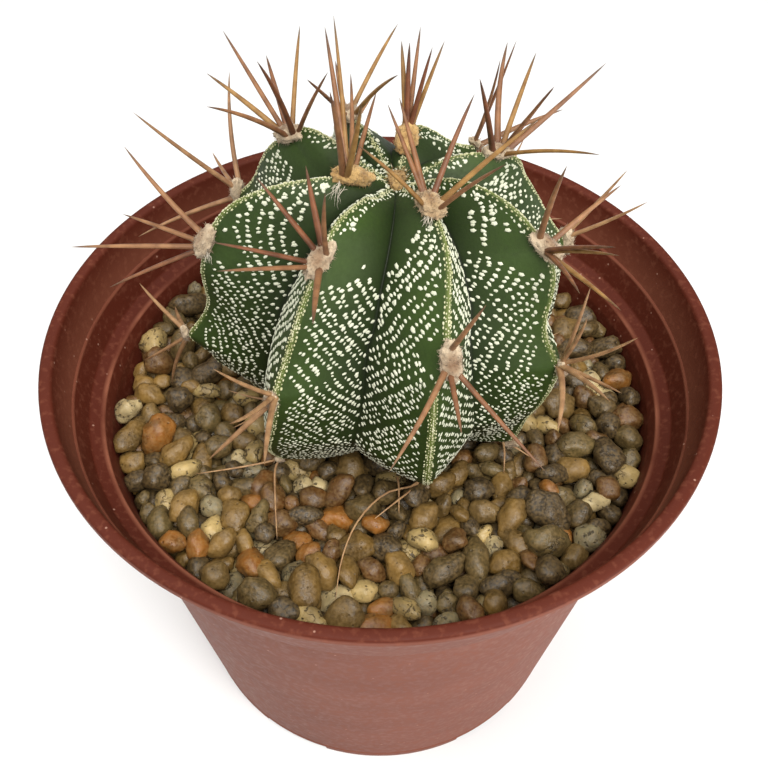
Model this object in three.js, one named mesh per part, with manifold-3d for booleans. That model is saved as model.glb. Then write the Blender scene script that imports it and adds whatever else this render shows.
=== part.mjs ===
// A ribbed star cactus in a plastic pot with a top dressing of river pebbles.
// Millimetres, +Z up. The origin is the centre of the pot's foot, on the surface that it stands on.
// Directions round the pot are degrees from -Y, the front, towards +X, the right-hand side.
import * as THREE from "three";
import { mergeVertices } from "three/addons/utils/BufferGeometryUtils.js";
import Module from "manifold-3d";

const wasm = await Module();
wasm.setup();

// Driving dimensions of the pot: radii at its foot, its collar and its lip
const POT_HEIGHT = 110;
const LIP_RADIUS = 70;
const LIP_INNER_RADIUS = 67.4;
const LIP_BAND = 1.9;
const LIP_FLARE = 0.5;
const COLLAR_TOP_RADIUS = 69.1;
const COLLAR_FOOT = { radius: 63, z: 89, step: 0.4 };
const COLLAR_INSIDE = { radius: 65.5, z: 100 };
const BODY_TOP_RADIUS = 60.9;
const LEDGE = { radius: 60.5, outer: 62.7, z: 93.4, rise: 0.9, drop: 3 };
const FOOT_RADIUS = 51;
const FOOT_RING_WIDTH = 3.8;
const FOOT_RING_HEIGHT = 2;
const FLOOR_TOP = 3.6;
const WALL = 1.5;
const EDGE = 0.6;
const POT_SIDES = 48;
const DRAIN_HOLES = { count: 6, ring: 36, radius: 4, sides: 12 };
const FOOT_NOTCHES = { count: 6, first: -22, width: 18 };

// Driving dimensions of the fill
const GAP = 0.3;
const SOIL_TOP = 80;
const BED_TOP = 84;
const PEBBLE_RINGS = { outermost: 55, spacing: 6.9, innermost: 15 };
const PEBBLE_STEP = 8.2;
const PEBBLE_JITTER = { along: 0.18, across: 0.7 };
const PEBBLE_HALF = { smallest: 2.9, largest: 3.6, narrowest: 0.78, height: 0.72 };
const PEBBLE_TOP = { lowest: 86.2, highest: 88.2 };
const PEBBLE_SIDE_GAP = 0.5;
const PEBBLE_SEED = 7;

// Driving dimensions of the stem: a squarish round profile, sunk a little at the crown
const STEM_AXIS = { x: 2.6, y: 1.0 };
const WIDEST_Z = 115;
const RIB_RADIUS = 39.5;
const ABOVE_WIDEST = 36.5;
const BELOW_WIDEST = 30;
const PROFILE_POWER = 2.8;
const CROWN_SINK = { depth: 5, radius: 8 };
const LOWEST_ANGLE = -78;
const PROFILE_STEPS = 800;
const SLOPE_REACH = 1.5;
const FURROW_RATIO = 0.52;
const FURROW_RATIO_AT_FOOT = 0.9;
const FOOT_BLEND_LENGTH = 22;
const FURROW_DROP = 3.5;
const FURROW_DROP_LENGTH = 12;
const FLANK_POWER = 0.8;
const RIDGE_ROUNDING = 0.06;
const CHIN_POWER = 1.6;
const RIB_COLUMNS = [-0.64, -0.32, -0.1, 0, 0.1, 0.32, 0.64, 1];
const STEM_ROWS = 26;
const NECK = { radius: 11, z: 84.4 };
const ROOT_END = { radius: 8, z: 66 };

// Driving dimensions of the areoles and their spines
const WOOL_HALF = { along: 3.1, across: 2.6, thick: 1.8 };
const WOOL_FACES = [7, 4];
const WOOL_LIFT = 0.5;
const SMALL_AREOLE = 0.6;
const LARGE_AREOLE = 1.2;
const STEM_CLEARANCE = 0.6;
const SPINE_RADIUS = 0.55;
const SMALL_SPINE = 0.7;
const SPINE_SIDES = 3;
const SPINE_BOW = 0.03;
const SPINE_MIDDLE = { share: 0.5, width: 0.75 };
const SPINE_ROOT_OFFSET = 0.5;
const CROWN_WOOL = { half: 2.6, height: 0.7, lift: 1.0 };

// Fans of spines on the far side, drawn by rule: the arc that they fill round an areole, and the
// least and the most of each spine's spread and length. A small areole lies at the gravel, so its
// fan leans upwards only.
const FULL_FAN = { arc: 360, spread: [42, 60], length: [17, 23] };
const LOW_FAN = { arc: 150, spread: [64, 76], length: [8, 12] };
const FAN_JITTER = 14;
const FAN_SEED = 23;

// The ribs, going round from the front, each with its areoles from the crown down. down is the
// distance down the rib from the crown in mm, at the direction it faces, reach how far the rib
// stands out there against the common profile, and step how far its chin stands out from the
// ridge above it. Each spine is [clock, spread, length]: clock 0 leans up the rib and 90 towards
// the next rib, spread is the angle from straight out, and length is in mm. Areoles on the far
// side have a fan of that many spines. A guide has no areole, and only steers the ridge.
const RIBS = [
  {
    name: "front_right",
    areoles: [
      {
        down: 14, at: 29,
        spines: [[-4, 57, 19], [6, 56, 19], [51, 55, 20], [-85, 40, 21], [100, 52, 26], [164, 42, 22]],
      },
      {
        down: 42.3, at: 18.5, reach: 0.97, step: 3,
        spines: [[6, 42, 21], [-125, 53, 22], [147, 52, 23], [-160, 30, 14]],
      },
      { down: 72, at: 14, reach: 0.96, guide: true },
      { down: 95, at: 20, small: true, spines: [[-55, 70, 30], [-75, 72, 17], [50, 65, 10]] },
    ],
  },
  {
    name: "right",
    areoles: [
      {
        down: 31.6, at: 63, reach: 0.97,
        spines: [
          [-34, 32, 23], [-87, 24, 23], [-118, 33, 23], [-107, 55, 22],
          [-134, 49, 22], [107, 60, 17],
        ],
      },
      {
        down: 56.4, at: 57, reach: 0.93, step: 3.5,
        spines: [[-8, 48, 22], [-55, 50, 22], [-42, 30, 23], [-80, 62, 21], [8, 72, 22], [-20, 72, 20]],
      },
      { down: 91, at: 62, small: true, spines: [[-80, 72, 11], [-10, 60, 9], [60, 65, 10]] },
    ],
  },
  {
    name: "back_right",
    areoles: [
      {
        down: 19.7, at: 108,
        spines: [
          [-33, 40, 23], [96, 52, 21], [120, 56, 21], [139, 64, 18],
          [162, 48, 24], [-80, 32, 23], [-114, 58, 22],
        ],
      },
      {
        down: 58.8, at: 117, step: 3,
        spines: [[-7, 56, 19], [-40, 57, 20], [168, 44, 23], [92, 54, 22], [-130, 50, 20]],
      },
      { down: 91, at: 113, small: true, fan: 3 },
    ],
  },
  {
    name: "rear_right",
    areoles: [
      {
        down: 9.5, at: 172, reach: 0.95,
        spines: [[164, 56, 17], [174, 46, 17], [-175, 56, 20], [-167, 44, 17], [-155, 54, 18]],
      },
      {
        down: 38, at: 147, reach: 0.78, step: 1,
        spines: [[-8, 60, 20], [-22, 48, 23], [40, 55, 21], [100, 50, 22], [170, 45, 22], [-110, 52, 21]],
      },
      { down: 65, at: 150, reach: 0.86, step: 3, fan: 5 },
      { down: 91, at: 152, small: true, fan: 3 },
    ],
  },
  {
    name: "rear_left",
    areoles: [
      {
        down: 20.8, at: 212.5, reach: 0.95,
        spines: [[41, 56, 22], [-5, 61, 22], [-115, 57, 21], [-160, 48, 22], [160, 52, 20], [100, 50, 19]],
      },
      { down: 50, at: 205, reach: 0.95, step: 3, fan: 6 },
      { down: 91, at: 204, small: true, fan: 3 },
    ],
  },
  {
    name: "back_left",
    areoles: [
      {
        down: 23.7, at: 243.5,
        spines: [
          [-151, 43, 24], [-131, 60, 20], [52, 38, 24], [30, 34, 24],
          [-104, 53, 22], [14, 55, 22], [-172, 55, 21], [85, 50, 22],
        ],
      },
      {
        down: 50.8, at: 241.5, step: 3,
        spines: [[32, 47, 26], [-122, 41, 23], [-40, 57, 24], [123, 54, 23], [-170, 50, 20]],
      },
      { down: 91, at: 240, small: true, fan: 3 },
    ],
  },
  {
    name: "left",
    areoles: [
      {
        down: 9.4, at: 295, large: true,
        spines: [
          [-106, 46, 25], [-96, 40, 27], [150, 36, 23], [-80, 59, 20],
          [128, 35, 24], [-62, 64, 19],
        ],
      },
      {
        down: 38.5, at: 288, reach: 1.02, step: 3,
        spines: [[-85, 50, 23], [-125, 59, 20], [-155, 43, 25], [-176, 58, 20]],
      },
      {
        down: 67.2, at: 280, reach: 1.05, step: 3.5,
        spines: [[-96, 56, 22], [-118, 70, 22], [-152, 52, 22], [-168, 68, 21]],
      },
      { down: 94, at: 284, small: true, fan: 2 },
    ],
  },
  {
    name: "front_left",
    areoles: [
      {
        down: 27, at: 334, reach: 0.98,
        spines: [[-63, 50, 16], [-24, 47, 15], [60, 18, 22], [-122, 46, 18], [-147, 43, 19], [140, 49, 22]],
      },
      {
        down: 55.1, at: 330, reach: 0.95, step: 4,
        spines: [[-1, 50, 22], [26, 37, 23], [-149, 60, 19], [59, 38, 23]],
      },
      { down: 87.3, at: 317, small: true, spines: [[-58, 50, 17], [75, 60, 17], [-10, 55, 9]] },
    ],
  },
];

const COLORS = {
  pot: { color: 0x8f4536, roughness: 0.5 },
  soil: { color: 0x2e2219, roughness: 1.0 },
  pebbles: { color: 0x9a8768, roughness: 0.75 },
  stem: { color: 0x3a6230, roughness: 0.6 },
  wool: { color: 0xb98a62, roughness: 0.9 },
};

// A seeded draw, the same at every run
function seededRandom(seed) {
  let state = seed;
  return () => {
    state = (state * 1664525 + 1013904223) % 4294967296;
    return state / 4294967296;
  };
}

const between = (random, low, high) => low + (high - low) * random();
const smoothstep = THREE.MathUtils.smoothstep;
const radians = THREE.MathUtils.degToRad;

// A closed three.js geometry as a solid for cutting and joining
function solidOf(geometry) {
  const bare = geometry.index ? geometry.clone() : geometry;
  bare.deleteAttribute("normal");
  bare.deleteAttribute("uv");
  const merged = mergeVertices(bare, 1e-5);
  const corners = merged.index.array;
  const kept = [];
  for (let i = 0; i < corners.length; i += 3) {
    const [a, b, c] = corners.slice(i, i + 3);
    if (a !== b && b !== c && c !== a) kept.push(a, b, c);
  }
  const mesh = new wasm.Mesh({
    numProp: 3,
    vertProperties: new Float32Array(merged.attributes.position.array),
    triVerts: new Uint32Array(kept),
  });
  return new wasm.Manifold(mesh);
}

// A solid back as a three.js geometry
function geometryOf(solid) {
  const { vertProperties, triVerts } = solid.getMesh();
  const geometry = new THREE.BufferGeometry();
  geometry.setAttribute("position", new THREE.BufferAttribute(vertProperties, 3));
  geometry.setIndex(new THREE.BufferAttribute(triVerts, 1));
  geometry.computeVertexNormals();
  return geometry;
}

function namedMesh(name, solid, look) {
  const material = new THREE.MeshStandardMaterial({ ...COLORS[look], metalness: 0 });
  const mesh = new THREE.Mesh(geometryOf(solid), material);
  mesh.name = name;
  return mesh;
}

// A turned solid from [radius, z] points that run up the outside and end on the axis
function turned(points) {
  const profile = points.map(([radius, z]) => new THREE.Vector2(radius, z));
  return solidOf(new THREE.LatheGeometry(profile, POT_SIDES).rotateX(Math.PI / 2));
}

// The pot's inside radius below its ledge
function potInside(z) {
  const low = FOOT_RADIUS - WALL;
  const high = BODY_TOP_RADIUS - WALL;
  return THREE.MathUtils.mapLinear(z, FLOOR_TOP, COLLAR_FOOT.z, low, high);
}

// A drain hole's or a notch's cutter, standing at a direction and a distance from the axis
function cutter(geometry, direction, distance) {
  return solidOf(geometry.rotateX(Math.PI / 2).translate(0, -distance, 0).rotateZ(radians(direction)));
}

function makePot() {
  const ringInside = FOOT_RADIUS - FOOT_RING_WIDTH;
  const ledgeUnderside = LEDGE.z - LEDGE.drop;
  const shell = turned([
    [0, FOOT_RING_HEIGHT],
    [ringInside - EDGE, FOOT_RING_HEIGHT],
    [ringInside, 0],
    [FOOT_RADIUS - EDGE, 0],
    [FOOT_RADIUS, EDGE],
    [BODY_TOP_RADIUS, COLLAR_FOOT.z - COLLAR_FOOT.step],
    [COLLAR_FOOT.radius, COLLAR_FOOT.z],
    [COLLAR_TOP_RADIUS, POT_HEIGHT - LIP_BAND - LIP_FLARE],
    [LIP_RADIUS, POT_HEIGHT - LIP_BAND],
    [LIP_RADIUS, POT_HEIGHT - EDGE],
    [LIP_RADIUS - EDGE, POT_HEIGHT],
    [LIP_INNER_RADIUS + EDGE, POT_HEIGHT],
    [LIP_INNER_RADIUS, POT_HEIGHT - EDGE],
    [COLLAR_INSIDE.radius, COLLAR_INSIDE.z],
    [LEDGE.outer, LEDGE.z + LEDGE.rise],
    [LEDGE.radius, LEDGE.z],
    [potInside(ledgeUnderside), ledgeUnderside],
    [potInside(FLOOR_TOP), FLOOR_TOP],
    [0, FLOOR_TOP],
  ]);
  const { count, ring, radius, sides } = DRAIN_HOLES;
  const holes = [...Array(count).keys()].map((i) =>
    cutter(new THREE.CylinderGeometry(radius, radius, 4 * FLOOR_TOP, sides), (360 / count) * i, ring));
  const notches = [...Array(FOOT_NOTCHES.count).keys()].map((i) =>
    cutter(
      new THREE.BoxGeometry(FOOT_NOTCHES.width, 2 * FOOT_RING_HEIGHT, 4 * FOOT_RING_WIDTH),
      FOOT_NOTCHES.first + (360 / FOOT_NOTCHES.count) * i,
      FOOT_RADIUS,
    ));
  return shell.subtract(wasm.Manifold.union([...holes, ...notches]));
}

// The plain round hole that the root neck stands in, through the bed and into the soil
function makeRootHole() {
  const height = 2 * (BED_TOP - ROOT_END.z);
  const middle = ROOT_END.z - GAP + height / 2;
  const hole = new THREE.CylinderGeometry(NECK.radius + GAP, NECK.radius + GAP, height, POT_SIDES);
  return solidOf(hole.rotateX(Math.PI / 2).translate(STEM_AXIS.x, STEM_AXIS.y, middle));
}

function makeSoil() {
  const fill = turned([
    [0, FLOOR_TOP + GAP],
    [potInside(FLOOR_TOP) - GAP, FLOOR_TOP + GAP],
    [potInside(SOIL_TOP) - GAP, SOIL_TOP],
    [0, SOIL_TOP],
  ]);
  return fill.subtract(makeRootHole());
}

// The common rib profile as a fine row of points, with its length counted down from the crown
const PROFILE = (() => {
  const power = 2 / PROFILE_POWER;
  const points = [];
  let down = 0;
  for (let i = 0; i <= PROFILE_STEPS; i++) {
    const angle = radians(THREE.MathUtils.lerp(90, LOWEST_ANGLE, i / PROFILE_STEPS));
    const reach = i === 0 ? 0 : Math.abs(Math.cos(angle)) ** power;
    const rise = Math.sign(angle) * Math.abs(Math.sin(angle)) ** power;
    const r = RIB_RADIUS * reach;
    const sink = angle > 0 ? CROWN_SINK.depth * Math.exp(-((r / CROWN_SINK.radius) ** 2)) : 0;
    const z = WIDEST_Z + (angle > 0 ? ABOVE_WIDEST : BELOW_WIDEST) * rise - sink;
    const last = points.at(-1);
    if (last) down += Math.hypot(r - last.r, z - last.z);
    points.push({ down, r, z });
  }
  return points;
})();
const PROFILE_LENGTH = PROFILE.at(-1).down;

function profileAt(down) {
  const next = PROFILE.findIndex((point) => point.down >= down);
  if (next <= 0) return next === 0 ? PROFILE[0] : PROFILE.at(-1);
  const [a, b] = [PROFILE[next - 1], PROFILE[next]];
  const t = (down - a.down) / (b.down - a.down);
  return { down, r: THREE.MathUtils.lerp(a.r, b.r, t), z: THREE.MathUtils.lerp(a.z, b.z, t) };
}

// The profile's outward direction in its own plane
function outwardAt(down) {
  const a = profileAt(Math.max(down - SLOPE_REACH, 0));
  const b = profileAt(Math.min(down + SLOPE_REACH, PROFILE_LENGTH));
  const length = Math.hypot(b.r - a.r, b.z - a.z);
  return { r: (a.z - b.z) / length, z: (b.r - a.r) / length };
}

// What a rib does at a distance down: which way it faces, how far it reaches, and how much its
// ridge draws in above the next chin
function ribAt(rib, down) {
  const { areoles } = rib;
  const next = areoles.findIndex((areole) => areole.down >= down);
  const below = next < 0 ? areoles.at(-1) : areoles[next];
  const above = next <= 0 ? below : areoles[next - 1];
  const span = below.down - above.down;
  const t = span > 0 ? (down - above.down) / span : 0;
  const eased = smoothstep(t, 0, 1);
  return {
    at: THREE.MathUtils.lerp(above.at, below.at, eased),
    reach: THREE.MathUtils.lerp(above.reach ?? 1, below.reach ?? 1, eased),
    drawnIn: (below.step ?? 0) * Math.sin(Math.PI * t ** CHIN_POWER),
  };
}

// How far up from furrow (0) to ridge (1) the flank stands, at a share of the way across it
function flankHeight(share) {
  const rounded = Math.hypot(share, RIDGE_ROUNDING) - RIDGE_ROUNDING;
  const whole = Math.hypot(1, RIDGE_ROUNDING) - RIDGE_ROUNDING;
  return 1 - (rounded / whole) ** FLANK_POWER;
}

// A point of the stem's skin: rib number, share across to the furrow either way, distance down
function skinPoint(ribIndex, share, down, grow) {
  const rib = RIBS[ribIndex];
  const turn = (step) => {
    const index = ribIndex + step;
    return ribAt(RIBS.at(index % RIBS.length), down).at + 360 * Math.floor(index / RIBS.length);
  };
  const { at, reach, drawnIn } = ribAt(rib, down);
  const direction = at + (Math.abs(share) * (turn(Math.sign(share)) - at)) / 2;
  const base = profileAt(down);
  const out = outwardAt(down);
  const foot = smoothstep(down, PROFILE_LENGTH - FOOT_BLEND_LENGTH, PROFILE_LENGTH);
  const ratio = THREE.MathUtils.lerp(FURROW_RATIO, FURROW_RATIO_AT_FOOT, foot);
  const upper = THREE.MathUtils.clamp((base.z - WIDEST_Z) / ABOVE_WIDEST, 0, 1);
  const drop = FURROW_DROP * upper * smoothstep(down, 0, FURROW_DROP_LENGTH);
  const height = flankHeight(Math.abs(share));
  const ridge = { r: base.r * reach - drawnIn * out.r, z: base.z - drawnIn * out.z };
  const furrow = { r: base.r * ratio, z: base.z - drop };
  const r = THREE.MathUtils.lerp(furrow.r, ridge.r, height) + grow * out.r;
  const z = THREE.MathUtils.lerp(furrow.z, ridge.z, height) + grow * out.z;
  return onCompass(direction, Math.max(r, 0), z);
}

// The point at a direction round the stem's axis, a radius and a height
function onCompass(direction, r, z) {
  const angle = radians(direction);
  return new THREE.Vector3(STEM_AXIS.x + r * Math.sin(angle), STEM_AXIS.y - r * Math.cos(angle), z);
}

// The stem with its root neck, grown outwards by a clearance where it serves as a cutter
function makeStem(grow = 0) {
  const columns = RIBS.flatMap((_, rib) => RIB_COLUMNS.map((share) => [rib, share]));
  const rings = [];
  for (let row = 1; row <= STEM_ROWS; row++) {
    const down = (PROFILE_LENGTH * row) / STEM_ROWS;
    rings.push(columns.map(([rib, share]) => skinPoint(rib, share, down, grow)));
  }
  for (const { radius, z } of [NECK, ROOT_END]) {
    rings.push(columns.map(([rib, share]) => {
      const point = skinPoint(rib, share, PROFILE_LENGTH, 0);
      const direction = Math.atan2(point.x - STEM_AXIS.x, STEM_AXIS.y - point.y);
      return onCompass(THREE.MathUtils.radToDeg(direction), radius + grow, z);
    }));
  }
  const top = onCompass(0, 0, profileAt(0).z + grow);
  const bottom = onCompass(0, 0, ROOT_END.z - grow);
  return solidOf(ringsGeometry(rings, top, bottom));
}

// A closed surface through rings of points that go round anticlockwise, from the top down
function ringsGeometry(rings, top, bottom) {
  const around = rings[0].length;
  const points = [top, ...rings.flat(), bottom];
  const at = (row, column) => 1 + row * around + (column % around);
  const faces = [];
  for (let column = 0; column < around; column++) {
    faces.push(0, at(0, column), at(0, column + 1));
    for (let row = 0; row + 1 < rings.length; row++) {
      faces.push(at(row, column), at(row + 1, column), at(row + 1, column + 1));
      faces.push(at(row, column), at(row + 1, column + 1), at(row, column + 1));
    }
    faces.push(at(rings.length - 1, column), points.length - 1, at(rings.length - 1, column + 1));
  }
  const geometry = new THREE.BufferGeometry().setFromPoints(points);
  geometry.setIndex(faces);
  return geometry;
}

// An areole's place on its ridge, with its own directions: out of the stem, up the rib and across
function areoleFrame({ down, at, reach = 1 }) {
  const base = profileAt(down);
  const slope = outwardAt(down);
  const angle = radians(at);
  const level = new THREE.Vector3(Math.sin(angle), -Math.cos(angle), 0);
  const upright = new THREE.Vector3(0, 0, 1);
  return {
    seat: onCompass(at, base.r * reach, base.z),
    out: level.clone().multiplyScalar(slope.r).addScaledVector(upright, slope.z),
    up: level.clone().multiplyScalar(-slope.z).addScaledVector(upright, slope.r),
    across: new THREE.Vector3(Math.cos(angle), Math.sin(angle), 0),
  };
}

// A spine: a slender three-sided point, bowed a little along its length
function makeSpine(root, direction, length, radius, bowDirection) {
  const side = new THREE.Vector3().crossVectors(bowDirection, direction).normalize();
  const lift = new THREE.Vector3().crossVectors(direction, side);
  const ringAt = (share, width) =>
    [...Array(SPINE_SIDES).keys()].map((i) => {
      const angle = (2 * Math.PI * i) / SPINE_SIDES;
      const bow = SPINE_BOW * length * 4 * share * (1 - share);
      return root.clone().addScaledVector(direction, length * share)
        .addScaledVector(side, width * Math.cos(angle))
        .addScaledVector(lift, width * Math.sin(angle) + bow);
    });
  const tip = root.clone().addScaledVector(direction, length);
  const rings = [ringAt(SPINE_MIDDLE.share, SPINE_MIDDLE.width * radius), ringAt(0, radius)];
  return solidOf(ringsGeometry(rings, tip, root));
}

function fanOfSpines({ fan, small }, random) {
  const { arc, spread, length } = small ? LOW_FAN : FULL_FAN;
  return [...Array(fan).keys()].map((i) => [
    arc * ((i + 0.5) / fan - 0.5) + between(random, -FAN_JITTER, FAN_JITTER),
    between(random, ...spread),
    between(random, ...length),
  ]);
}

// One areole: its wool pad astride the ridge with its spines, cut clear of the stem
function makeAreole(areole, stemCutter, random) {
  const frame = areoleFrame(areole);
  const size = areole.small ? SMALL_AREOLE : areole.large ? LARGE_AREOLE : 1;
  const spineRadius = SPINE_RADIUS * (areole.small ? SMALL_SPINE : 1);
  const half = Object.values(WOOL_HALF).map((value) => value * size);
  const basis = new THREE.Matrix4().makeBasis(frame.up, frame.across.clone().negate(), frame.out);
  const centre = frame.seat.clone().addScaledVector(frame.out, WOOL_LIFT);
  const wool = new THREE.SphereGeometry(1, ...WOOL_FACES).rotateX(Math.PI / 2).scale(...half);
  wool.applyMatrix4(basis).translate(centre.x, centre.y, centre.z);
  const spines = areole.spines ?? fanOfSpines(areole, random);
  const points = spines.map(([clock, spread, length]) => {
    const [turn, lean] = [radians(clock), radians(spread)];
    const sideways = frame.up.clone().multiplyScalar(Math.cos(turn))
      .addScaledVector(frame.across, Math.sin(turn));
    const direction = frame.out.clone().multiplyScalar(Math.cos(lean))
      .addScaledVector(sideways, Math.sin(lean));
    const root = centre.clone().addScaledVector(sideways, SPINE_ROOT_OFFSET * size);
    return makeSpine(root, direction, length, spineRadius, frame.out);
  });
  const whole = wasm.Manifold.union([solidOf(wool), ...points]).subtract(stemCutter);
  return largestPiece(whole);
}

function largestPiece(solid) {
  return solid.decompose().sort((a, b) => b.volume() - a.volume())[0];
}

// The tuft of young wool in the sunken crown
function makeCrownWool(stemCutter) {
  const { half, height, lift } = CROWN_WOOL;
  const top = onCompass(0, 0, profileAt(0).z + lift);
  const tuft = new THREE.IcosahedronGeometry(half, 0).scale(1, 1, height).translate(top.x, top.y, top.z);
  return largestPiece(solidOf(tuft).subtract(stemCutter));
}

// One pebble: a rough oval lump, its top at a given height
function makePebble(x, y, top, half, turn, grow) {
  const [long, wide, high] = half.map((value) => value + grow);
  return solidOf(new THREE.IcosahedronGeometry(1, 0)
    .scale(long, wide, high).rotateZ(turn).translate(x, y, top - half[2]));
}

// The top dressing: a bed that closes over the soil, and pebbles sunk into it in jittered rings
function makeGravel(plant) {
  const random = seededRandom(PEBBLE_SEED);
  const bottom = SOIL_TOP + GAP;
  const bed = turned([
    [0, bottom],
    [potInside(bottom) - GAP, bottom],
    [potInside(BED_TOP) - GAP, BED_TOP],
    [0, BED_TOP],
  ]);
  const pebbles = [];
  const { outermost, spacing, innermost } = PEBBLE_RINGS;
  for (let ring = outermost; ring > innermost; ring -= spacing) {
    const count = Math.floor((2 * Math.PI * ring) / PEBBLE_STEP);
    for (let i = 0; i < count; i++) {
      const along = between(random, -PEBBLE_JITTER.along, PEBBLE_JITTER.along);
      const angle = (2 * Math.PI * (i + along)) / count + ring;
      const long = between(random, PEBBLE_HALF.smallest, PEBBLE_HALF.largest);
      const wide = long * between(random, PEBBLE_HALF.narrowest, 1);
      const outerLimit = potInside(BED_TOP) - GAP - PEBBLE_SIDE_GAP - long;
      const across = between(random, -PEBBLE_JITTER.across, PEBBLE_JITTER.across);
      const r = Math.min(ring + across, outerLimit);
      const top = between(random, PEBBLE_TOP.lowest, PEBBLE_TOP.highest);
      const turn = between(random, 0, Math.PI);
      const half = [long, wide, long * PEBBLE_HALF.height];
      const place = [r * Math.cos(angle), r * Math.sin(angle), top, half, turn];
      const wider = makePebble(...place, PEBBLE_SIDE_GAP);
      if (wider.intersect(plant).isEmpty()) pebbles.push(makePebble(...place, 0));
    }
  }
  return largestPiece(wasm.Manifold.union([bed, ...pebbles]).subtract(makeRootHole()));
}

const stemCutter = makeStem(STEM_CLEARANCE);
const stem = makeStem();
const fanRandom = seededRandom(FAN_SEED);
const areoles = RIBS.flatMap((rib) => rib.areoles
  .filter((areole) => !areole.guide)
  .map((areole, i) => ({
    name: `areole_${rib.name}_${i + 1}`,
    solid: makeAreole(areole, stemCutter, fanRandom),
  })));
const plant = wasm.Manifold.union([stem, ...areoles.map((areole) => areole.solid)]);

const model = new THREE.Group();
model.add(namedMesh("pot", makePot(), "pot"));
model.add(namedMesh("soil", makeSoil(), "soil"));
model.add(namedMesh("gravel", makeGravel(plant), "pebbles"));
model.add(namedMesh("stem", stem, "stem"));
model.add(namedMesh("crown_wool", makeCrownWool(stemCutter), "wool"));
for (const { name, solid } of areoles) model.add(namedMesh(name, solid, "wool"));

export default model;
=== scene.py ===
# %% [markdown]
# # A potted star cactus
#
# The object is a young star cactus that stands in a round plastic pot. Its body has eight sharp
# ribs, flecked with tiny tufts of white wool, and each rib carries pads of wool with stiff spines.
# Pebbles from a river cover the soil. This lesson builds each of those pieces in turn, in one
# shared frame: the pot's foot stands on z = 0, and the pot's axis is the z axis.
#
# The solids of the object come first. They say where every piece is and how large it is, so a
# finer piece that takes the place of a solid is built from the same driving sizes.

# %% Load the solids
import math

import bpy
import numpy as np
from mathutils import Matrix, Vector


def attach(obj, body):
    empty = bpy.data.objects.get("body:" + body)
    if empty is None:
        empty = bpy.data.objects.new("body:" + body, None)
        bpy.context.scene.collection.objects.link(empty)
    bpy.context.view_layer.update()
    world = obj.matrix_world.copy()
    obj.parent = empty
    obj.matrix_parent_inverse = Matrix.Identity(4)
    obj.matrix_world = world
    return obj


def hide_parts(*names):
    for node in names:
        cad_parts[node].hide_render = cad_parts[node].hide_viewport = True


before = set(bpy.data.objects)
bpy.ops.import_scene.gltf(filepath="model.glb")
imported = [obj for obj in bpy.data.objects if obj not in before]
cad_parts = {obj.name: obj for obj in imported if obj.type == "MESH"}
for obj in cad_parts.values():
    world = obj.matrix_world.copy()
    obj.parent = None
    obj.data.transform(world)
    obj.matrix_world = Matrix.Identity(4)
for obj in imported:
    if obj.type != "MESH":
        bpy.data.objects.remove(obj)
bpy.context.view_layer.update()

MM = 0.001

# %% [markdown]
# ## The camera
#
# The pot's lip is a circle seen at a slant, and so is its foot. The two ovals in the photograph
# settle where the camera stood: about 20 cm from the middle of the lip, looking down at nearly
# fifty degrees. A camera object looks along its own -Z, so its rotation is built from three axes
# at right angles.

# %% The camera
CAMERA_PLACE = Vector((0.009385, -0.133084, 0.246581))
CAMERA_LOOK = Vector((-0.04237, 0.65192, -0.75710))
CAMERA_UP = Vector((-0.05771, 0.75492, 0.65327))
CAMERA_LENS = 42.52


def add_camera():
    data = bpy.data.cameras.new("camera")
    data.lens = CAMERA_LENS
    data.sensor_width = 36
    camera = bpy.data.objects.new("camera", data)
    look = CAMERA_LOOK.normalized()
    side = look.cross(CAMERA_UP).normalized()
    turn = Matrix((side, side.cross(look), -look)).transposed()
    camera.matrix_world = Matrix.Translation(CAMERA_PLACE) @ turn.to_4x4()
    bpy.context.scene.collection.objects.link(camera)
    bpy.context.scene.camera = camera
    print("camera at", [round(value, 3) for value in CAMERA_PLACE])


add_camera()

# %% [markdown]
# ## Node trees in a few words each
#
# Shaders and Geometry Nodes are both trees of nodes joined by links. Small helpers keep the rest
# of the lesson short. One adds a node and fills its sockets with numbers or with the outputs of
# other nodes. The others use it for sums with numbers or vectors, and to stretch a range.

# %% Helpers for node trees


def add_node(tree, kind, sockets=None, **settings):
    node = tree.nodes.new(kind)
    for name, value in settings.items():
        setattr(node, name, value)
    for name, value in (sockets or {}).items():
        if isinstance(value, bpy.types.NodeSocket):
            tree.links.new(value, node.inputs[name])
        else:
            node.inputs[name].default_value = value
    return node


def calculate(tree, operation, a, b=0.0, c=0.0):
    values = {0: a, 1: b, 2: c}
    return add_node(tree, "ShaderNodeMath", values, operation=operation).outputs[0]


def calculate_vector(tree, operation, a, b=(0, 0, 0)):
    node = add_node(tree, "ShaderNodeVectorMath", {0: a, 1: b}, operation=operation)
    return node.outputs["Value" if operation in ("LENGTH", "DOT_PRODUCT") else "Vector"]


def scale_vector(tree, vector, factor):
    sockets = {0: vector, "Scale": factor}
    return add_node(tree, "ShaderNodeVectorMath", sockets, operation="SCALE").outputs[0]


def map_range(tree, value, low, high, new_low=0.0, new_high=1.0):
    sockets = {0: value, 1: low, 2: high, 3: new_low, 4: new_high}
    return add_node(tree, "ShaderNodeMapRange", sockets).outputs[0]


# %% [markdown]
# ## Effects that several materials share
#
# Plastic, skin, stone and spines all vary a little from place to place, all have a fine grain, and
# some carry small specks. Each effect is a shader node group with named sockets, built once. A
# group puts out only a value or a mask, and each material sets its own strength and colours.

# %% Shared shader groups
SPECK_CORE = 0.6


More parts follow.
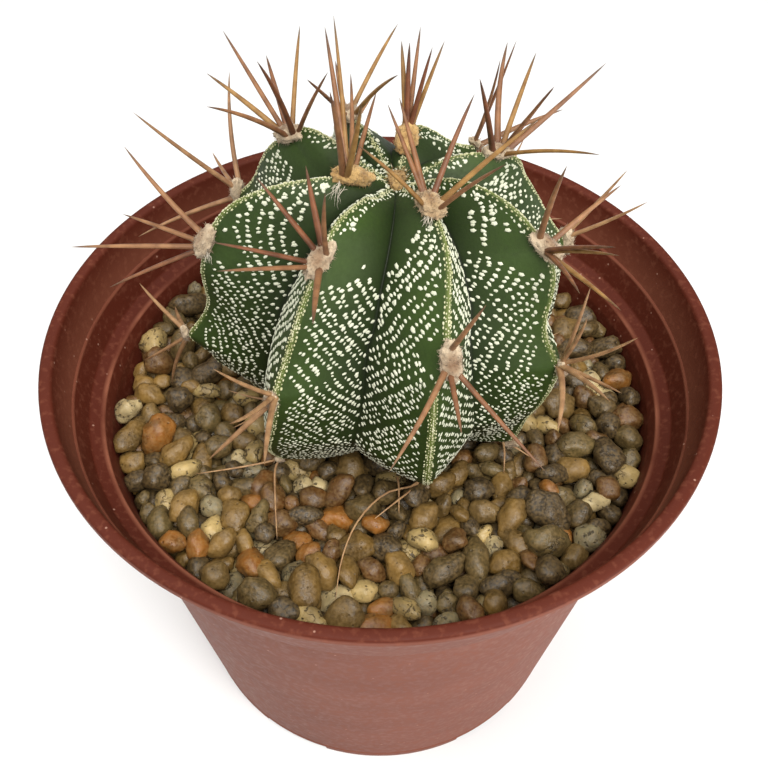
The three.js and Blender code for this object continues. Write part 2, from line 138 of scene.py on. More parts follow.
def start_group(name, inputs, output):
    tree = bpy.data.node_groups.new(name, "ShaderNodeTree")
    tree.interface.new_socket("Vector", in_out="INPUT", socket_type="NodeSocketVector")
    for label, value in inputs.items():
        socket = tree.interface.new_socket(label, in_out="INPUT", socket_type="NodeSocketFloat")
        socket.default_value = value
    tree.interface.new_socket(output, in_out="OUTPUT", socket_type="NodeSocketFloat")
    return tree, tree.nodes.new("NodeGroupInput").outputs, tree.nodes.new("NodeGroupOutput").inputs


def make_mottle_group():
    """Soft clouds between 0 and 1."""
    tree, given, result = start_group("Mottle", {"Scale": 100, "Detail": 4, "Contrast": 1}, "Value")
    sockets = {"Vector": given["Vector"], "Scale": given["Scale"], "Detail": given["Detail"]}
    noise = add_node(tree, "ShaderNodeTexNoise", sockets)
    centred = calculate(tree, "SUBTRACT", noise.outputs[0], 0.5)
    stretched = calculate(tree, "MULTIPLY_ADD", centred, given["Contrast"], 0.5)
    tree.links.new(map_range(tree, stretched, 0, 1), result[0])
    return tree


def make_specks_group():
    """Round specks: Share of the cells hold one, and Size is its share of a cell."""
    tree, given, result = start_group("Specks", {"Scale": 500, "Size": 0.25, "Share": 0.3}, "Mask")
    sockets = {"Vector": given["Vector"], "Scale": given["Scale"]}
    cells = add_node(tree, "ShaderNodeTexVoronoi", sockets)
    red = add_node(tree, "ShaderNodeSeparateColor", {0: cells.outputs["Color"]}).outputs[0]
    chosen = calculate(tree, "LESS_THAN", red, given["Share"])
    edge = calculate(tree, "MULTIPLY", given["Size"], SPECK_CORE)
    inside = map_range(tree, cells.outputs["Distance"], given["Size"], edge)
    tree.links.new(calculate(tree, "MULTIPLY", inside, chosen), result[0])
    return tree


def make_grain_group():
    """A fine rough height, with octaves that fall off as Roughness says."""
    tree, given, result = start_group("Fine Grain", {"Scale": 800, "Roughness": 0.6}, "Height")
    sockets = {"Vector": given["Vector"], "Scale": given["Scale"], "Detail": 5,
               "Roughness": given["Roughness"]}
    tree.links.new(add_node(tree, "ShaderNodeTexNoise", sockets).outputs[0], result[0])
    return tree


MOTTLE = make_mottle_group()
SPECKS = make_specks_group()
GRAIN = make_grain_group()
print("shader groups:", [group.name for group in (MOTTLE, SPECKS, GRAIN)])

# %% A material, with the moves that every finish repeats


class Paint:
    """A material's node tree. Its effects read the place on the piece, unless told otherwise."""

    def __init__(self, name, **finish):
        self.material = bpy.data.materials.new(name)
        self.material.use_nodes = True
        self.tree = self.material.node_tree
        self.shader = self.tree.nodes["Principled BSDF"]
        for label, value in finish.items():
            self.shader.inputs[label.replace("_", " ")].default_value = value
        self.place = add_node(self.tree, "ShaderNodeTexCoord").outputs["Object"]

    def attribute(self, name):
        return add_node(self.tree, "ShaderNodeAttribute", attribute_name=name).outputs["Fac"]

    def effect(self, group, **sockets):
        sockets = {"Vector": self.place, **sockets}
        return add_node(self.tree, "ShaderNodeGroup", sockets, node_tree=group).outputs[0]

    def mix(self, factor, first, second):
        colors = [value if isinstance(value, bpy.types.NodeSocket) else (*value, 1)
                  for value in (first, second)]
        sockets = {0: factor, 6: colors[0], 7: colors[1]}
        return add_node(self.tree, "ShaderNodeMix", sockets, data_type="RGBA").outputs[2]

    def range(self, value, low, high, new_low=0.0, new_high=1.0):
        return map_range(self.tree, value, low, high, new_low, new_high)

    def times(self, a, b):
        return calculate(self.tree, "MULTIPLY", a, b)

    def stretch(self, *scale):
        sockets = {"Vector": self.place, "Scale": scale}
        return add_node(self.tree, "ShaderNodeMapping", sockets).outputs[0]

    def set(self, label, socket):
        self.tree.links.new(socket, self.shader.inputs[label])

    def bump(self, height, distance, strength=1.0):
        sockets = {"Strength": strength, "Distance": distance, "Height": height}
        self.set("Normal", add_node(self.tree, "ShaderNodeBump", sockets).outputs[0])


def srgb(red, green, blue):
    """A colour given as a screen shows it, in 0 to 255, as the linear one that shaders take."""
    return tuple(value / 12.92 if value <= 0.04045 else ((value + 0.055) / 1.055) ** 2.4
                 for value in (red / 255, green / 255, blue / 255))


print("a middle grey, as shaders take it:", [round(value, 3) for value in srgb(128, 128, 128)])

# %% [markdown]
# ## The studio
#
# The photograph has soft light from all round, a little stronger from the front right. A pale
# world gives the even part, large area lamps give the shape, one of them low beside the pot, and a
# plain pale floor throws light back up onto the pot's wall. The floor isn't part of the object.

# %% Floor and lights
FLOOR_SIZE = 6.0
WORLD_STRENGTH = 0.37
LAMPS = {
    "key lamp": {"place": (0.24, -0.52, 0.88), "size": 0.6, "watts": 10.6},
    "fill lamp": {"place": (-0.5, -0.1, 0.95), "size": 0.9, "watts": 3.6},
    "top lamp": {"place": (0.0, 0.25, 1.0), "size": 0.8, "watts": 3.2},
    "side lamp": {"place": (0.75, -0.45, 0.16), "size": 0.4, "watts": 3.2},
}
LAMP_COLOR = (1.0, 0.96, 0.9)
LAMP_TARGET = Vector((0, 0, 0.09))
SKY_COLOR = (1.0, 0.97, 0.92)
FLOOR_TONES = ((0.82, 0.85, 0.89), (0.84, 0.87, 0.91))


def make_floor():
    half = FLOOR_SIZE / 2
    mesh = bpy.data.meshes.new("floor")
    corners = [(-half, -half, 0), (half, -half, 0), (half, half, 0), (-half, half, 0)]
    mesh.from_pydata(corners, [], [(0, 1, 2, 3)])
    floor = bpy.data.objects.new("floor", mesh)
    bpy.context.scene.collection.objects.link(floor)
    paint = Paint("floor paper", Roughness=0.9)
    tone = paint.effect(MOTTLE, Scale=3, Contrast=0.6)
    paint.set("Base Color", paint.mix(tone, *FLOOR_TONES))
    mesh.materials.append(paint.material)


def make_lamps():
    for name, lamp in LAMPS.items():
        data = bpy.data.lights.new(name, "AREA")
        data.shape = "DISK"
        data.size = lamp["size"]
        data.energy = lamp["watts"]
        data.color = LAMP_COLOR
        place = Vector(lamp["place"])
        turn = (place - LAMP_TARGET).to_track_quat("Z", "Y").to_matrix().to_4x4()
        thing = bpy.data.objects.new(name, data)
        thing.matrix_world = Matrix.Translation(place) @ turn
        bpy.context.scene.collection.objects.link(thing)


def make_world():
    world = bpy.data.worlds.new("soft sky")
    world.use_nodes = True
    sky = world.node_tree.nodes["Background"].inputs
    sky["Color"].default_value = (*SKY_COLOR, 1)
    sky["Strength"].default_value = WORLD_STRENGTH
    bpy.context.scene.world = world


make_floor()
make_lamps()
make_world()
bpy.context.scene.view_settings.view_transform = "Standard"
print("lamps:", ", ".join(LAMPS))

# %% [markdown]
# ## Trees that make pieces
#
# Geometry Nodes make what repeats here: pebbles, flecks, hairs, spines. Each tree has named inputs
# for its sizes. A starting mesh carries the places, the modifier is given its numbers before it is
# first worked out, and the result is turned into a plain mesh with the modifier gone.

# %% Helpers for Geometry Nodes
SOCKETS = {float: "NodeSocketFloat", int: "NodeSocketInt", "material": "NodeSocketMaterial"}


def start_tree(name, inputs):
    tree = bpy.data.node_groups.new(name, "GeometryNodeTree")
    tree.interface.new_socket("Geometry", in_out="INPUT", socket_type="NodeSocketGeometry")
    for label, value in inputs.items():
        socket = tree.interface.new_socket(label, in_out="INPUT", socket_type=SOCKETS[type(value)])
        socket.default_value = value
    tree.interface.new_socket("Material", in_out="INPUT", socket_type=SOCKETS["material"])
    tree.interface.new_socket("Geometry", in_out="OUTPUT", socket_type="NodeSocketGeometry")
    return tree, tree.nodes.new("NodeGroupInput").outputs


def make_real(tree, geometry):
    return add_node(tree, "GeometryNodeRealizeInstances", {0: geometry}).outputs[0]


def end_tree(tree, geometry, material):
    sockets = {0: make_real(tree, geometry), "Shade Smooth": True}
    shaded = add_node(tree, "GeometryNodeSetShadeSmooth", sockets).outputs[0]
    painted = add_node(tree, "GeometryNodeSetMaterial", {0: shaded, "Material": material}).outputs[0]
    tree.links.new(painted, tree.nodes.new("NodeGroupOutput").inputs[0])


def position_of(tree):
    return add_node(tree, "GeometryNodeInputPosition").outputs[0]


def named(tree, name, kind="FLOAT"):
    node = add_node(tree, "GeometryNodeInputNamedAttribute", {"Name": name}, data_type=kind)
    return node.outputs[0]


# %% Attributes, joins and turns


def with_attribute(tree, geometry, name, value, kind="FLOAT"):
    sockets = {0: geometry, "Name": name, "Value": value}
    return add_node(tree, "GeometryNodeStoreNamedAttribute", sockets, data_type=kind).outputs[0]


def join_all(tree, *parts):
    joined = add_node(tree, "GeometryNodeJoinGeometry")
    for part in parts:
        tree.links.new(part, joined.inputs[0])
    return joined.outputs[0]


def turn_towards(tree, facing, along):
    """The turn that brings a shape's Z to one direction and its X towards another."""
    return add_node(tree, "FunctionNodeAxesToRotation", {0: facing, 1: along},
                    primary_axis="Z", secondary_axis="X").outputs[0]


# %% Meshes in and out of a tree


def note_points(mesh, **attributes):
    """One number or vector for each point of a mesh, under each name."""
    for label, values in attributes.items():
        values = np.asarray(values, dtype=np.float32)
        kind, key = ("FLOAT_VECTOR", "vector") if values.ndim == 2 else ("FLOAT", "value")
        mesh.attributes.new(label, kind, "POINT").data.foreach_set(key, values.ravel())


def make_mesh(name, points, edges=(), faces=(), **attributes):
    """A mesh from points in millimetres, with its attributes."""
    mesh = bpy.data.meshes.new(name)
    mesh.from_pydata((np.asarray(points) * MM).tolist(), list(edges), list(faces))
    note_points(mesh, **attributes)
    return mesh


def points_of(mesh):
    """A mesh's points in millimetres."""
    points = np.empty(len(mesh.vertices) * 3)
    mesh.vertices.foreach_get("co", points)
    return points.reshape(-1, 3) / MM


def finish_piece(name, mesh, slot, *nodes):
    piece = bpy.data.objects.new(name, mesh)
    mesh.name = name
    bpy.context.scene.collection.objects.link(piece)
    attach(piece, "root")
    if nodes:
        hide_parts(*nodes)
    triangles = sum(len(face.vertices) - 2 for face in mesh.polygons)
    print(f"{name}: {triangles} triangles")
    return piece


def grow(tree, start, values):
    """The plain mesh that a tree makes of a starting mesh."""
    holder = bpy.data.objects.new("start", start)
    bpy.context.scene.collection.objects.link(holder)
    modifier = holder.modifiers.new(tree.name, "NODES")
    modifier.node_group = tree
    for item in tree.interface.items_tree:
        if item.in_out == "INPUT" and item.name in values:
            modifier[item.identifier] = values[item.name]
    graph = bpy.context.evaluated_depsgraph_get()
    mesh = bpy.data.meshes.new_from_object(holder.evaluated_get(graph))
    holder.modifiers.remove(modifier)
    bpy.data.objects.remove(holder)
    return mesh


# %% [markdown]
# ## The pot
#
# The pot is moulded plastic: a tapering body, a flared collar, a rolled lip and a ledge inside
# that stops stacked pots from jamming. It is a turned form, so its main shape follows one rule: a
# profile of radii and heights, carried round the axis. A grid gives the surface its rows and
# columns, and each of its points takes its radius and height from the profile. Boolean nodes then
# cut the drain holes and the notches in the foot ring.

# %% Sizes of the pot
POT_HEIGHT = 110
LIP_RADIUS = 70
LIP_INNER_RADIUS = 67.4
LIP_BAND = 1.9
LIP_FLARE = 0.5
COLLAR_TOP_RADIUS = 69.1
COLLAR_FOOT_RADIUS = 63
COLLAR_FOOT_Z = 89
COLLAR_STEP = 0.4
COLLAR_INSIDE = (65.5, 100)
COLLAR_CREASE = {"out": 0.25, "up": 0.3, "in": 0.15}
BODY_TOP_RADIUS = 60.9
LEDGE_RADIUS = 60.5
LEDGE_OUTER = 63.5
LEDGE_Z = 93.4
LEDGE_RISE = 1.2
LEDGE_DROP = 3
FOOT_RADIUS = 51
FOOT_RING_WIDTH = 3.8
FOOT_RING_HEIGHT = 2
FLOOR_TOP = 3.6
WALL = 1.5
FOOT_LINE = {"z": 3.4, "depth": 0.25}
ROUNDING = 0.5
LINE_ROUNDING = 0.1
EDGE_ROUNDING = 0.3
LEDGE_ROUNDING = 0.4
LIP_ROUNDING = 0.9
FLOOR_ROUNDING = 1.0
ROUNDING_STEPS = 4
LONGEST_ROUNDING = 0.45
POT_SIDES = 192
print("the pot in mm:", 2 * LIP_RADIUS, "across and", POT_HEIGHT, "high")

# %% The pot's profile


def pot_inside(z):
    """The pot's inner radius below its ledge."""
    return np.interp(z, [FLOOR_TOP, COLLAR_FOOT_Z], [FOOT_RADIUS - WALL, BODY_TOP_RADIUS - WALL])


def pot_corners():
    """The profile's corners up the outside and down the inside, each with its rounding."""
    ring_inside = FOOT_RADIUS - FOOT_RING_WIDTH
    line_z, line_depth = FOOT_LINE["z"], FOOT_LINE["depth"]
    line_radius = np.interp(line_z, [0, COLLAR_FOOT_Z], [FOOT_RADIUS, BODY_TOP_RADIUS])
    under = LEDGE_Z - LEDGE_DROP
    crease_radius, crease_z = COLLAR_INSIDE
    return [
        (0, FOOT_RING_HEIGHT, 0),
        (ring_inside, FOOT_RING_HEIGHT, ROUNDING),
        (ring_inside, 0, ROUNDING),
        (FOOT_RADIUS, 0, ROUNDING),
        (line_radius, line_z - line_depth, LINE_ROUNDING),
        (line_radius - line_depth, line_z, LINE_ROUNDING),
        (line_radius, line_z + line_depth, LINE_ROUNDING),
        (BODY_TOP_RADIUS, COLLAR_FOOT_Z - COLLAR_STEP, EDGE_ROUNDING),
        (COLLAR_FOOT_RADIUS, COLLAR_FOOT_Z, ROUNDING),
        (COLLAR_TOP_RADIUS, POT_HEIGHT - LIP_BAND - LIP_FLARE, EDGE_ROUNDING),
        (LIP_RADIUS, POT_HEIGHT - LIP_BAND, EDGE_ROUNDING),
        (LIP_RADIUS, POT_HEIGHT, LIP_ROUNDING),
        (LIP_INNER_RADIUS, POT_HEIGHT, LIP_ROUNDING),
        (crease_radius + COLLAR_CREASE["out"], crease_z + COLLAR_CREASE["up"], LINE_ROUNDING),
        (crease_radius - COLLAR_CREASE["in"], crease_z, LINE_ROUNDING),
        (LEDGE_OUTER, LEDGE_Z + LEDGE_RISE, LEDGE_ROUNDING),
        (LEDGE_RADIUS, LEDGE_Z, EDGE_ROUNDING),
        (pot_inside(under), under, LEDGE_ROUNDING),
        (pot_inside(FLOOR_TOP), FLOOR_TOP, FLOOR_ROUNDING),
        (0, FLOOR_TOP, 0),
    ]


def round_corners(corners):
    """Each corner becomes a short curve that leaves its two sides at the rounding's distance."""
    points = []
    for i, (radius, z, rounding) in enumerate(corners):
        corner = np.array([radius, z], dtype=float)
        if rounding == 0:
            points.append(corner)
            continue
        before = np.array(corners[i - 1][:2]) - corner
        after = np.array(corners[i + 1][:2]) - corner
        lengths = np.linalg.norm(before), np.linalg.norm(after)
        reach = min(rounding, LONGEST_ROUNDING * lengths[0], LONGEST_ROUNDING * lengths[1])
        start = corner + reach * before / lengths[0]
        end = corner + reach * after / lengths[1]
        for t in np.linspace(0, 1, ROUNDING_STEPS):
            points.append((1 - t) ** 2 * start + 2 * t * (1 - t) * corner + t ** 2 * end)
    return np.array(points)


POT_PROFILE = round_corners(pot_corners())
print("pot profile:", len(POT_PROFILE), "points")

# %% The cutters of the drain holes and the foot's notches
DRAIN_HOLES = {"Drain Holes": 6, "Hole Ring": 36 * MM, "Hole Radius": 4 * MM}
FOOT_NOTCHES = {"Notches": 6, "First Notch": -22.0, "Notch Width": 18 * MM}
CUTTER_REACH = {"hole": 0.03, "notch": 0.02}
HOLE_SIDES = 32


def ring_of(tree, shape, count, radius, first):
    """Copies of a shape round the z axis, the first at a compass direction from -Y towards +X."""
    circle = add_node(tree, "GeometryNodeMeshCircle", {"Vertices": count, "Radius": radius})
    start = calculate(tree, "RADIANS", calculate(tree, "SUBTRACT", first, 90))
    turn = add_node(tree, "ShaderNodeCombineXYZ", {"Z": start}).outputs[0]
    turned = add_node(tree, "GeometryNodeTransform", {0: circle.outputs[0], "Rotation": turn})
    facing = turn_towards(tree, (0, 0, 1), position_of(tree))
    sockets = {"Points": turned.outputs[0], "Instance": shape, "Rotation": facing}
    return add_node(tree, "GeometryNodeInstanceOnPoints", sockets).outputs[0]


def foot_cutters(tree, given):
    """Cylinders for the drain holes and blocks for the notches, as one mesh."""
    sockets = {"Vertices": HOLE_SIDES, "Radius": given["Hole Radius"], "Depth": CUTTER_REACH["hole"]}
    hole = add_node(tree, "GeometryNodeMeshCylinder", sockets).outputs[0]
    holes = ring_of(tree, hole, given["Drain Holes"], given["Hole Ring"], 0.0)
    tall = calculate(tree, "MULTIPLY", given["Notch Height"], 2)
    sides = {0: CUTTER_REACH["notch"], 1: given["Notch Width"], 2: tall}
    size = add_node(tree, "ShaderNodeCombineXYZ", sides).outputs[0]
    block = add_node(tree, "GeometryNodeMeshCube", {"Size": size}).outputs[0]
    notches = ring_of(tree, block, given["Notches"], given["Foot Radius"], given["First Notch"])
    return make_real(tree, join_all(tree, holes, notches))


print("cutters:", DRAIN_HOLES["Drain Holes"], "holes and", FOOT_NOTCHES["Notches"], "notches")

# %% The pot's tree: turn the profile, then cut
WELD_DISTANCE = 1e-6


def turned_shell(tree, given):
    """A grid laid on the profile: its rows follow it, and its columns go round the axis."""
    columns = calculate(tree, "ADD", given["Sides"], 1)
    sockets = {"Vertices X": columns, "Vertices Y": given["Rows"]}
    sheet = add_node(tree, "GeometryNodeMeshGrid", sockets).outputs[0]
    index = add_node(tree, "GeometryNodeInputIndex").outputs[0]
    column = calculate(tree, "FLOOR", calculate(tree, "DIVIDE", index, given["Rows"]))
    row = calculate(tree, "MODULO", index, given["Rows"])
    sockets = {0: given["Geometry"], 1: position_of(tree), 2: row}
    point = add_node(tree, "GeometryNodeSampleIndex", sockets, data_type="FLOAT_VECTOR").outputs[0]
    radius, _, height = add_node(tree, "ShaderNodeSeparateXYZ", {0: point}).outputs
    angle = calculate(tree, "MULTIPLY", calculate(tree, "DIVIDE", column, given["Sides"]), math.tau)
    x = calculate(tree, "MULTIPLY", radius, calculate(tree, "COSINE", angle))
    y = calculate(tree, "MULTIPLY", radius, calculate(tree, "SINE", angle))
    turned = add_node(tree, "ShaderNodeCombineXYZ", {0: x, 1: y, 2: height}).outputs[0]
    laid = add_node(tree, "GeometryNodeSetPosition", {0: sheet, "Position": turned}).outputs[0]
    sockets = {0: laid, "Distance": WELD_DISTANCE}
    return add_node(tree, "GeometryNodeMergeByDistance", sockets).outputs[0]


def make_pot_tree():
    tree, given = start_tree("Turned Pot", {
        "Sides": 96, "Rows": 10, "Drain Holes": 6, "Hole Ring": 0.03, "Hole Radius": 0.004,
        "Notches": 6, "First Notch": 0.0, "Notch Width": 0.01, "Foot Radius": 0.05,
        "Notch Height": 0.002,
    })
    sockets = {0: turned_shell(tree, given), 1: foot_cutters(tree, given)}
    cut = add_node(tree, "GeometryNodeMeshBoolean", sockets, operation="DIFFERENCE", solver="EXACT")
    end_tree(tree, cut.outputs[0], given["Material"])
    return tree


POT_TREE = make_pot_tree()
print("the pot's tree has", len(POT_TREE.nodes), "nodes")

# %% [markdown]
# ### The pot's finish
#
# Recycled plastic of this kind is matte and brownish red. Its outside is paler, because handling
# leaves a dusty film and fine scratches there. The plastic's own tones are painted darker than the
# plastic, as shade inside the pot, and the inside shows them fully because it has no film. Light
# specks sit all over it. The film and the inside differ by an attribute that is worked out from each
# point's radius and height.

# %% The pot's material
OUTER_LINES = [(COLLAR_FOOT_Z + 0.2, 0.45)]
INNER_LINES = [(LEDGE_Z, 0.5), (COLLAR_INSIDE[1], 0.3)]
# The plastic's tones, painted darker as shade: the inside shows them without the film.
SHADED_PLASTIC = (srgb(74, 31, 20), srgb(87, 36, 23))
DUST = srgb(127, 74, 57)
SCUFFED = srgb(168, 108, 84)
PALE_SPECK = srgb(190, 150, 132)


def pot_paint():
    paint = Paint("terracotta plastic", Roughness=0.6, Specular_IOR_Level=0.14)
    clouds = paint.effect(MOTTLE, Scale=45, Contrast=0.9)
    # Painted shade: the darkened plastic shows fully inside the pot, where no film covers it.
    plastic = paint.mix(clouds, *SHADED_PLASTIC)
    tall = paint.stretch(1, 1, 2)
    film_clouds = paint.effect(MOTTLE, Vector=tall, Scale=40, Detail=8, Contrast=1.8)
    outside = paint.attribute("outside")
    inside = calculate(paint.tree, "SUBTRACT", 1.0, outside)
    film = paint.times(paint.range(film_clouds, 0, 1, 0.5, 0.85), outside)
    dusty = paint.mix(film, plastic, DUST)
    rubbed = paint.effect(MOTTLE, Scale=700, Detail=6, Contrast=3)
    scuffs = paint.times(paint.range(rubbed, 0.55, 1), 0.12)
    height = add_node(paint.tree, "ShaderNodeSeparateXYZ", {0: paint.place}).outputs[2]
    patches = paint.range(film_clouds, 0.2, 0.6)
    for lines, side in ((OUTER_LINES, outside), (INNER_LINES, inside)):
        for z, strength in lines:
            off = calculate(paint.tree, "SUBTRACT", height, z * MM)
            off = calculate(paint.tree, "ABSOLUTE", off)
            line = paint.times(paint.range(off, 0.0004, 0.0001, 0, strength), patches)
            scuffs = calculate(paint.tree, "MAXIMUM", scuffs, paint.times(line, side))
    worn = paint.mix(scuffs, dusty, SCUFFED)
    specks = paint.effect(SPECKS, Scale=700, Size=0.2, Share=0.05)
    paint.set("Base Color", paint.mix(paint.times(specks, 0.5), worn, PALE_SPECK))
    paint.set("Roughness", paint.range(rubbed, 0, 1, 0.5, 0.68))
    paint.bump(paint.effect(GRAIN, Scale=1500), 0.00006, 0.5)
    return paint.material


# %% The pot's mesh
POT_SHARP_ANGLE = 40
MIDDLE_OF_WALL = ([0, 89, 89.1, 110], [50, 60, 62, 68.8])
LIP_TOP_BAND = 0.8


def make_pot():
    start = make_mesh("profile", [(radius, 0, z) for radius, z in POT_PROFILE])
    mesh = grow(POT_TREE, start, {
        "Sides": POT_SIDES, "Rows": len(POT_PROFILE), "Foot Radius": FOOT_RADIUS * MM,
        "Notch Height": FOOT_RING_HEIGHT * MM, "Material": pot_paint(), **DRAIN_HOLES, **FOOT_NOTCHES,
    })
    x, y, z = points_of(mesh).T
    outside = (np.hypot(x, y) > np.interp(z, *MIDDLE_OF_WALL)) & (z < POT_HEIGHT - LIP_TOP_BAND)
    note_points(mesh, outside=outside)
    mesh.set_sharp_from_angle(angle=math.radians(POT_SHARP_ANGLE))
    finish_piece("pot_shell", mesh, "pot_plastic", "pot")


make_pot()

# %% [markdown]
# ## The soil
#
# The soil is hidden below the pebbles, and shows only as dark gaps between them and through the
# drain holes. Its solid is right as it is, so it keeps it and takes a material: dark, damp mix
# with a few pale grains.

# %% The soil's material
EARTH = (srgb(22, 16, 11), srgb(66, 50, 36))
PALE_GRAIN = srgb(188, 180, 164)


def soil_paint():
    paint = Paint("potting mix", Roughness=0.95)
    crumbs = paint.effect(MOTTLE, Scale=380, Detail=6, Contrast=2.5)
    earth = paint.mix(crumbs, *EARTH)
    grains = paint.effect(SPECKS, Scale=320, Size=0.25, Share=0.05)
    paint.set("Base Color", paint.mix(grains, earth, PALE_GRAIN))
    paint.bump(paint.effect(GRAIN, Scale=500), 0.0008)
    return paint.material


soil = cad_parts["soil"]
soil.data.materials.clear()
soil.data.materials.append(soil_paint())
print("soil:", len(soil.data.polygons), "faces, as solid")

# %% [markdown]
# ## The stem's form
#
# The eight ribs share one profile, a squarish round that is sunk a little at the crown. Each rib
# faces its own way, and its ridge steps out at every areole like a row of chins. So a point of the
# skin has three coordinates: which rib it is on, how far across from the ridge (0) to the furrow
# (1 or -1), and how far down from the crown in millimetres. Those coordinates then also place the
# flecks, the wool and the colours, and nothing needs fitting to the surface afterwards.

# %% The stem's driving sizes, in millimetres
STEM_AXIS = (2.6, 1.0)
WIDEST_Z = 115
RIB_RADIUS = 39.5
ABOVE_WIDEST = 36.5
BELOW_WIDEST = 30
PROFILE_POWER = 2.8
CROWN_SINK = {"depth": 5, "radius": 8}
LOWEST_ANGLE = -78
SLOPE_REACH = 1.5
FURROW_RATIOS = ([20, 50, 72, 80, 87, 96, 108], [0.52, 0.66, 0.75, 0.69, 0.62, 0.58, 0.72])
FURROW_DROP = 3.5
FURROW_DROP_LENGTH = 12
FLANK_POWER = 0.8
RIDGE_ROUNDING = 0.06
CHIN_POWER = 1.6
NECK = (11, 84.4)
ROOT_END = (8, 66)
PROFILE_STEPS = 801
SHARE_SPAN = 18

# Each rib's areoles from the crown down: distance down, the way the rib faces there, how far it
# stands out against the common profile, how far its chin stands out from the ridge above it, and
# the size of the areole. Size 0 only steers the ridge.
RIBS = {
    "front_right": [(14, 29, 1, 0, 1), (42.3, 18.5, 0.97, 1.5, 1), (50, 14, 0.955, 0, 0),
                    (72, 13.5, 0.96, 0, 0), (95, 20, 1, 3.5, 0.6)],
    "right": [(0, 63, 0.97, 0, 0), (31.6, 63, 1, -2, 1), (56.4, 57, 0.965, 4, 1),
              (91, 62, 1, 4.5, 0.6)],
    "back_right": [(19.7, 108, 1, 0, 1), (36, 112, 0.81, 0, 0), (58.8, 117, 1, 2, 1),
                   (91, 113, 1, 0, 0.6)],
    "rear_right": [(9.5, 172, 0.95, 0, 1), (38, 147, 0.78, 3.2, 1), (65, 150, 0.86, 3, 1),
                   (91, 152, 1, 0, 0.6)],
    "rear_left": [(20.8, 212.5, 0.95, 0, 1), (50, 205, 0.95, 3, 1), (91, 204, 1, 0, 0.6)],
    "back_left": [(0, 243.5, 1, 0, 0), (12, 243.5, 1, 1.3, 0), (23.7, 243.5, 1, -1.8, 1),
                  (50.8, 241.5, 1, 3, 1), (91, 240, 1, 0, 0.6)],
    "left": [(0, 295, 1, 0, 0), (9.4, 295, 1, -1.2, 1.2), (38.5, 288, 1.02, -2.5, 1),
             (67.2, 280, 1.08, 4.5, 1), (73, 282, 0.98, 0, 0), (80, 284, 0.86, 0, 0),
             (94, 284, 0.88, 0, 0.6)],
    "front_left": [(0, 334, 0.98, 0, 0), (12, 334, 0.98, 1.3, 0), (27, 334, 0.98, -2, 1),
                   (55.1, 330, 0.985, 2.5, 1), (88.6, 317, 1, 1.5, 0.6)],
}
RIB_TABLES = [np.array(rows, dtype=float).T for rows in RIBS.values()]
RIB_COUNT = len(RIBS)
print(RIB_COUNT, "ribs,", sum(row[4] > 0 for rows in RIBS.values() for row in rows), "areoles")

# %% The ribs' common profile


def smoothstep(value, low, high):
    t = np.clip((value - low) / (high - low), 0, 1)
    return t * t * (3 - 2 * t)


def make_profile():
    """The common rib profile as fine rows of: distance down, radius, height."""
    angle = np.radians(np.linspace(90, LOWEST_ANGLE, PROFILE_STEPS))
    power = 2 / PROFILE_POWER
    r = RIB_RADIUS * np.clip(np.cos(angle), 0, 1) ** power
    r[0] = 0
    rise = np.sign(angle) * np.abs(np.sin(angle)) ** power
    sink = np.where(angle > 0, CROWN_SINK["depth"] * np.exp(-((r / CROWN_SINK["radius"]) ** 2)), 0)
    z = WIDEST_Z + np.where(angle > 0, ABOVE_WIDEST, BELOW_WIDEST) * rise - sink
    down = np.concatenate([[0], np.cumsum(np.hypot(np.diff(r), np.diff(z)))])
    return down, r, z


PROFILE = make_profile()
PROFILE_LENGTH = PROFILE[0][-1]
print("the profile runs", round(PROFILE_LENGTH, 1), "mm from the crown down to the neck")


def profile_at(down):
    return np.interp(down, PROFILE[0], PROFILE[1]), np.interp(down, PROFILE[0], PROFILE[2])


def outward_at(down):
    """The profile's outward direction in its own plane: radial and upward parts."""
    r_a, z_a = profile_at(np.maximum(down - SLOPE_REACH, 0))
    r_b, z_b = profile_at(np.minimum(down + SLOPE_REACH, PROFILE_LENGTH))
    length = np.hypot(r_b - r_a, z_b - z_a)
    return (z_a - z_b) / length, (r_b - r_a) / length


# %% Points of the skin


def rib_at(rib, down):
    """Which way a rib faces, how far it reaches, and how far its ridge draws in above a chin."""
    downs, ats, reaches, steps, _ = RIB_TABLES[rib % RIB_COUNT]
    found = np.searchsorted(downs, down)
    below = np.minimum(found, len(downs) - 1)
    above = np.where((found == 0) | (found == len(downs)), below, below - 1)
    span = downs[below] - downs[above]
    t = np.where(span > 0, (down - downs[above]) / np.where(span > 0, span, 1), 0)
    eased = t * t * (3 - 2 * t)
    at = ats[above] + (ats[below] - ats[above]) * eased + 360 * (rib // RIB_COUNT)
    reach = reaches[above] + (reaches[below] - reaches[above]) * eased
    return at, reach, steps[below] * np.sin(np.pi * t ** CHIN_POWER)


def on_compass(direction, r, z):
    """A point round the stem's axis, its direction in degrees from -Y towards +X."""
    angle = np.radians(direction)
    return np.stack([STEM_AXIS[0] + r * np.sin(angle), STEM_AXIS[1] - r * np.cos(angle), z], axis=-1)


